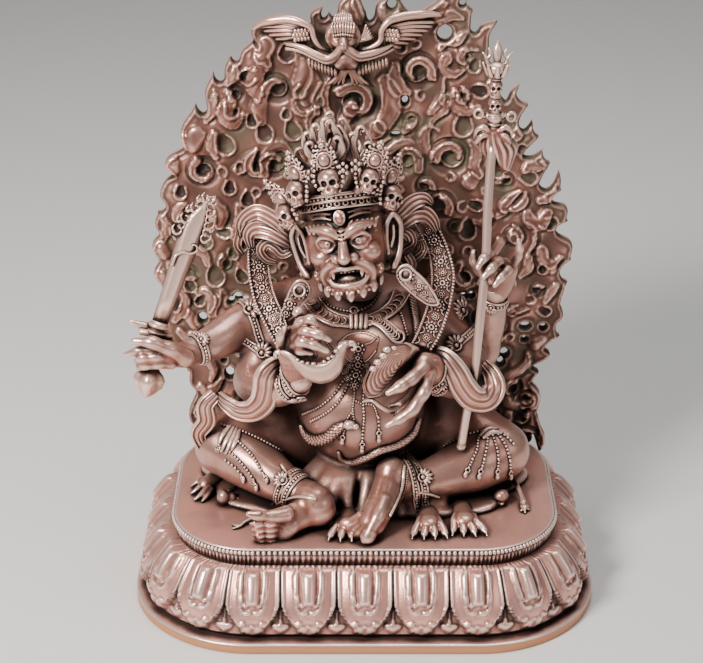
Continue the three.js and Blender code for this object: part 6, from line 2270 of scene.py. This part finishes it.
# Armlets, bracelets and anklets, in millimetres: the middle of each, the way of the limb, its palmette's
# size and the way that the palmette faces.
LIMB_RINGS = (
    ((-88, -9, 138), (-14, -9, -2.5), 4.6, (0.2, -0.6, 0.9)),
    ((-62, 9, 144), (-11, -5, -2), 7.0, (0.1, -0.5, 0.9)),
    ((-52.5, 2, 129.5), (-10, -6, -14), 6.2, (-0.3, -1, 0.2)),
    ((-35.8, -28.4, 128.9), (12, -10, 10), 6.2, (0.5, -0.8, -0.5)),
    ((-39, -25.7, 126.2), (12, -10, 10), 0, (0, -1, 0)),
    ((69, 11, 158), (3.5, -6, 22), 4.2, (-0.2, -1, 0)),
    ((45, 22, 141), (13, 0, -10), 7.0, (0.1, -0.6, 0.8)),
    ((47.5, 4.5, 132), (12, -6, -12), 6.4, (0.2, -1, 0.4)),
    ((35, -20, 127.5), (-14, -8, 6.5), 4.8, (-0.2, -1, 0.3)),
    ((38.5, -18, 126), (-14, -8, 6.5), 0, (0, -1, 0)),
    ((-40, -33.5, 67.6), (14, -11, -4), 5.6, (0.1, -0.9, 0.6)),
    ((-36.4, -36.2, 66.7), (14, -11, -4), 0, (0, -1, 0)),
    ((28.5, -24.8, 66), (-18, -7, -2), 5.6, (0.2, -0.8, 0.7)),
    ((24, -26.4, 66), (-18, -7, -2), 0, (0, -1, 0)),
)
# Chains on the shins and thighs, and the drops that end them.
LEG_CHAINS = (
    [(222, 425), (238, 430), (256, 438), (276, 449), (297, 462)],
    [(234, 438), (246, 449), (256, 461), (263, 473)],
    [(228, 450), (239, 460), (249, 472), (254, 479)],
    [(226, 460), (234, 466), (242, 474)],
    [(486, 429), (479, 438), (477, 450), (472.5, 459)],
    [(488, 430), (487.5, 440), (486, 450), (484, 459)],
    [(491, 430), (494, 440), (497, 450), (498, 459)],
    [(494, 430), (502, 440), (507, 450), (509.5, 460)],
    [(445, 447), (456, 440), (470, 434), (485, 431)],
    [(493, 431), (505, 436), (513, 444)],
)
LEG_DROPS = (
    ((472.5, 460), (465, 475)), ((484, 460), (478.5, 476.5)), ((498, 460), (496.5, 476)),
    ((509.5, 461), (510, 476)), ((263, 473), (267.5, 481)), ((254, 479), (257.5, 488)),
    ((242, 474), (244.5, 480)),
)
# The gathered cloth over each knee, from which the chains hang, and its rosettes.
KNEE_CLOTH = (
    [(231, 426), (223, 436), (218.5, 446)], [(234, 427), (228, 439), (221.5, 452)],
    [(237, 428), (232.5, 440), (226, 454)], [(239.5, 430), (236.5, 440), (231.5, 451)],
    [(480, 437), (487, 430), (498, 428.5)], [(483, 439), (490, 433.5), (503, 433)],
)
KNEE_ROSETTES = ((488, 433, 2.6), (219, 449, 2.2))
# A cord on the shin and the skin's hem on the body, and the hems that also touch the feet.
BODY_CORDS = (
    [(281, 465), (285.5, 472), (291, 480), (286.5, 487), (281, 493)],
    [(415, 499), (418, 493), (428, 493.5), (439, 497)],
)
FOOT_HEMS = (
    [(272, 505), (285, 500), (300, 497), (316, 499)],
    [(404, 466), (402, 484), (396, 502), (389, 516)],
)
FOOT_PEARLS = [(407, 466), (405, 486), (399, 504), (392, 518)]


def patch(heap, first, second, clays, count, lifts, rim=0.9):
    """A raised band between two lines of the photograph, its edges sunk in the clay."""
    start, _ = laid(first, clays, count)
    stop, _ = laid(second, clays, count)
    rows = []
    for n, lift in enumerate(lifts):
        between = start + (stop - start) * n / (len(lifts) - 1)
        for _ in range(4):
            out = slopes_at(between, clays)
            between = between - out * np.clip(nearest(between, clays), -2, 2)[:, None]
        rows.append(between + slopes_at(between, clays) * lift)
    middle = rows[len(rows) // 2]
    heap.add(np.vstack(rows), [grid_faces(len(rows), count, False)])
    for edge in (rows[1], rows[-2]):
        tube(heap, edge, rim, 8)
    return middle, slopes_at(middle, clays), unit(stop - start), np.linalg.norm(stop - start, axis=1) / 2


def arcs_along(heap, middle, out, across, half, gap):
    """Small hoops across a band."""
    ways = unit(np.gradient(middle, axis=0))
    for n in range(2, len(middle) - 3, gap):
        hoop = [middle[n] + across[n] * half[n] * share + ways[n] * along + out[n] * 0.7
                for along, share in ((0, -0.6), (1.7, -0.3), (1.7, 0.3), (0, 0.6))]
        tube(heap, curve(hoop, 9), 0.42, 5)


def fan(heap, ball, spot, out, up, radius):
    """A palmette: seven lobes that spread from a stone, with a ring about it."""
    pose = facing(out, up)
    scatter(heap, ball, spot[None] + pose[:, 2] * 0.5, 0.24 * radius)
    for n in range(-3, 4):
        a = n * 2.9 / 6
        way = pose[:, 1] * math.cos(a) + pose[:, 0] * math.sin(a)
        size = radius * (1 - 0.1 * abs(a))
        line = [spot + way * size * k + pose[:, 2] * lift
                for k, lift in ((0.2, 0.2), (0.6, 0.9), (1.0, 0.6))]
        tube(heap, curve(line, 6), np.array([0.07, 0.13, 0.17, 0.18, 0.15, 0.09]) * radius, 7)
    ring = loop_about(spot + pose[:, 2] * 0.3, out, 0.42 * radius, 12, up)
    tube(heap, ring, 0.09 * radius, 5, closed=True)


def tassel(heap, ball, pixels, clays):
    """A short chain that ends in a drop."""
    line, out = laid(pixels, clays, 7, 0.9)
    scatter(heap, ball, line[:4], 0.75)
    ring_on(heap, line[4], out[4], 1.2, 0.4, 9, 5)
    scatter(heap, ball, line[5][None], 1.15)
    scatter(heap, ball, line[6][None], np.array([[1.3, 1.3, 2.0]]))


def snake(heap, pixels, clays, radius):
    """A scaly snake laid on the clay."""
    count, sides = 130, 28
    line, out = laid(pixels, clays, count, 0.6 * radius)
    t = np.linspace(0, 1, count)
    size = radius * np.minimum(1, 0.35 + 2.4 * t) * np.minimum(1, 0.5 + 4 * (1 - t))
    ways = unit(np.gradient(line, axis=0))
    side = unit(np.cross(ways, out))
    steps = np.linalg.norm(np.diff(line, axis=0), axis=1)
    along = np.concatenate([[0], np.cumsum(steps)])[:, None]
    angles = circle(sides)[None, :]
    scales = np.abs(np.cos(3.5 * angles + along * 1.25) * np.cos(3.5 * angles - along * 1.25))
    far = size[:, None] * (0.86 + 0.3 * np.sqrt(scales))
    up, aside = (far * np.cos(angles))[..., None], (far * np.sin(angles))[..., None]
    rings = np.cross(side, ways)[:, None] * up + side[:, None] * aside
    capped(heap, line[:, None] + rings, [line[0], line[-1]])


def bracelet(heap, ball, centre, axis, clays):
    """Two rings about a limb with pearls between them; returns the middle ring and the ways out."""
    axis = unit(axis)
    lift, reach, count = 0.4, 17.0, 60
    for shift in (-1.4, 1.4):
        ring, _ = hugged(np.asarray(centre) + axis * shift, axis, clays, count, lift, reach)
        tube(heap, curve(ring, count, closed=True), 0.8, 6, closed=True)
    ring, ways = hugged(centre, axis, clays, count, lift + 0.3, reach)
    beads(heap, ball, ring, 0.95, closed=True)
    return ring, ways


def chest_jewels(heap, ball, body):
    """Necklace, collar, clasp, breastplate and the flowered chain."""
    line, _ = laid(NECKLACE, body, 60, 0.8)
    beads(heap, ball, line, 0.85)
    line, out = laid(NECKLACE_RING, body, 3, 1.0)
    ring_on(heap, line[1], out[1], 2.0, 0.6, 12, 6)
    for first, second, gap in COLLARS:
        middle, out, across, half = patch(heap, first, second, body, 46, COLLAR_LIFTS)
        arcs_along(heap, middle, out, across, half, gap)
    line, out = laid(STRAP_RING, body, 3, 0.8)
    ring_on(heap, line[1], out[1], 3.2, 0.9, 14, 7)
    for u in CLASP_COLUMNS:
        line, _ = laid([(u, 315.5), (u + 0.4, 322), (u, 328.5)], body, 8, 1.2)
        tube(heap, line, 1.35, 9)
    patch(heap, *BREASTPLATE, body, 30, BREAST_LIFTS, 0.45)
    line, _ = laid(BREAST_BEADS, body, 14, 1.0)
    scatter(heap, ball, line, 0.42)
    for u, v, radius in CHAIN:
        spot, out = touch([(u, v)], body, 1.2)
        ring_on(heap, spot[0], out[0], 0.62 * radius, 0.5, 10, 6)
        scatter(heap, ball, loop_about(spot[0], out[0], 1.35 * radius, 8), 0.34 * radius)
    for pixel in CHAIN_ROSETTES:
        spot, out = touch([pixel], body, 0.9)
        rosette(heap, ball, spot[0], out[0], 1.9)
    # The twisted cord on the left breast.
    line, out = laid(BREAST_CORD, body, 70, 1.0)
    side = np.cross(unit(np.gradient(line, axis=0)), out)
    for k in range(4):
        phase = np.linspace(0, 9 * np.pi, 70) + k * np.pi / 2
        strand = line + side * np.cos(phase)[:, None] * 1.5 + out * np.sin(phase)[:, None] * 0.9
        tube(heap, strand, 0.75, 5)


def belly_jewels(heap, ball, body):
    """Strings of pearls with tassels, and the two snakes."""
    for path, radius in PEARL_STRINGS:
        line, _ = laid(path, body, 40, 0.6)
        beads(heap, ball, line, radius)
    for path in BELLY_TASSELS:
        tassel(heap, ball, path, body)
    snake(heap, SNAKE, body, 2.6)
    spot, _ = touch(SNAKE_HEAD, body, 1.6)
    scatter(heap, ball, spot, np.array([[3.8, 2.6, 2.8]]))
    scatter(heap, ball, spot + (3.2, -0.6, -0.6), np.array([[2.2, 1.8, 1.8]]))
    snake(heap, SNAKE_BELT, body, 1.9)


def limb_jewels(heap, ball, clays):
    """Armlets, bracelets and anklets, most with a palmette."""
    for centre, axis, size, aim in LIMB_RINGS:
        ring, ways = bracelet(heap, ball, centre, axis, clays)
        if size:
            best = int(np.argmax(ways @ unit(aim)))
            fan(heap, ball, ring[best] + ways[best] * 0.6, ways[best], -unit(axis), size)


def leg_jewels(heap, ball, clays):
    """Chains, drops and gathered cloth on the legs, and the hems about the feet."""
    body = clays[:1]
    for path in LEG_CHAINS:
        line, _ = laid(path, body, 50, 0.6)
        beads(heap, ball, line, 0.85)
    for start, end in LEG_DROPS:
        middle = ((start[0] + end[0]) / 2, (start[1] + end[1]) / 2)
        tassel(heap, ball, [start, middle, end], body)
    for path in KNEE_CLOTH:
        line, _ = laid(path, body, 16, 0.3)
        tube(heap, line, 1.5 * np.sin(np.linspace(0.5, 2.9, 16)) + 0.3, 8)
    for u, v, radius in KNEE_ROSETTES:
        spot, out = touch([(u, v)], body, 0.5)
        rosette(heap, ball, spot[0], out[0], radius)
    for paths, where in ((BODY_CORDS, body), (FOOT_HEMS, clays)):
        for path in paths:
            line, _ = laid(path, where, 40, 0.4)
            tube(heap, line, 1.0, 7)
    line, _ = laid(FOOT_PEARLS, clays, 40, 0.4)
    beads(heap, ball, line, 0.6)


def make_jewels(clays, ball):
    heap = Heap()
    chest_jewels(heap, ball, clays[:1])
    belly_jewels(heap, ball, clays[:1])
    limb_jewels(heap, ball, clays)
    leg_jewels(heap, ball, clays)
    return heap.piece("jewels")


# Stage: the floor, the light and the camera.

def make_stage():
    mesh = bpy.data.meshes.new("floor")
    half, back, rise, steps = 3.0, 2.2, 2.4, 12
    profile = [(-half, 0.0)]
    for n in range(steps + 1):
        angle = n * math.pi / 2 / steps
        profile.append((back - 1 + math.sin(angle), 1 - math.cos(angle)))
    profile.append((back, rise))
    verts = [(x, y, z) for y, z in profile for x in (-half, half)]
    faces = [(2 * i, 2 * i + 1, 2 * i + 3, 2 * i + 2) for i in range(len(profile) - 1)]
    mesh.from_pydata(verts, [], faces)
    mesh.polygons.foreach_set("use_smooth", np.ones(len(faces), bool))
    floor = bpy.data.objects.new("floor", mesh)
    bpy.context.scene.collection.objects.link(floor)
    pale = bpy.data.materials.new("pale_floor")
    pale.use_nodes = True
    shader = pale.node_tree.nodes["Principled BSDF"]
    shader.inputs["Base Color"].default_value = (0.72, 0.71, 0.70, 1)
    shader.inputs["Roughness"].default_value = 0.7
    mesh.materials.append(pale)


def make_light(name, place, aim, size, power, colour=(1, 1, 1)):
    light = bpy.data.lights.new(name, "AREA")
    light.shape = "RECTANGLE"
    light.size, light.size_y = size
    light.energy = power
    light.color = colour
    lamp = bpy.data.objects.new(name, light)
    bpy.context.scene.collection.objects.link(lamp)
    way = unit(np.array(aim) - np.array(place))
    lamp.matrix_world = Matrix([[*row, p] for row, p in zip(facing(-way), place)] + [[0, 0, 0, 1]])


def make_view():
    world = bpy.data.worlds.new("studio")
    bpy.context.scene.world = world
    world.use_nodes = True
    world.node_tree.nodes["Background"].inputs["Color"].default_value = (0.9, 0.92, 0.95, 1)
    world.node_tree.nodes["Background"].inputs["Strength"].default_value = 0.12
    make_light("key", (-0.62, -0.7, 0.88), (0, 0, 0.15), (0.34, 0.28), 23.5, (1, 0.94, 0.89))
    make_light("fill", (1.1, -0.9, 0.75), (0, 0, 0.15), (0.7, 0.7), 2.4, (1, 0.97, 0.95))
    make_light("top", (0.1, 0.15, 1.5), (0, 0, 0.15), (1.0, 0.6), 13)
    lens = bpy.data.cameras.new("photo_view")
    lens.sensor_fit = "HORIZONTAL"
    lens.lens = FOCAL / PHOTO_SIZE[0] * lens.sensor_width
    lens.clip_end = 20
    camera = bpy.data.objects.new("photo_view", lens)
    bpy.context.scene.collection.objects.link(camera)
    camera.location = EYE * MM
    camera.rotation_euler = (math.pi / 2 - PITCH, 0, 0)
    bpy.context.scene.camera = camera


make_view()
make_stage()
make_plinth()
make_aureole()
body = sculpt_body()
hands = sculpt_hands()
feet = sculpt_feet()
show("body", body)
show("hands", hands)
show("feet", feet)
show("head", sculpt_head())
show("hair", sculpt_hair())
small_ball = unit_ball(7, 4)
skull = skull_shape()
make_crown(skull, leaf_shape(), small_ball)
make_garuda(small_ball)
make_sword()
make_staff(skull, small_ball)
make_knife(small_ball)
make_bowl(small_ball)
make_scarves()
make_relics(skull)
make_stole(small_ball)
make_ribbons(small_ball)
make_jewels([body, hands, feet], small_ball)
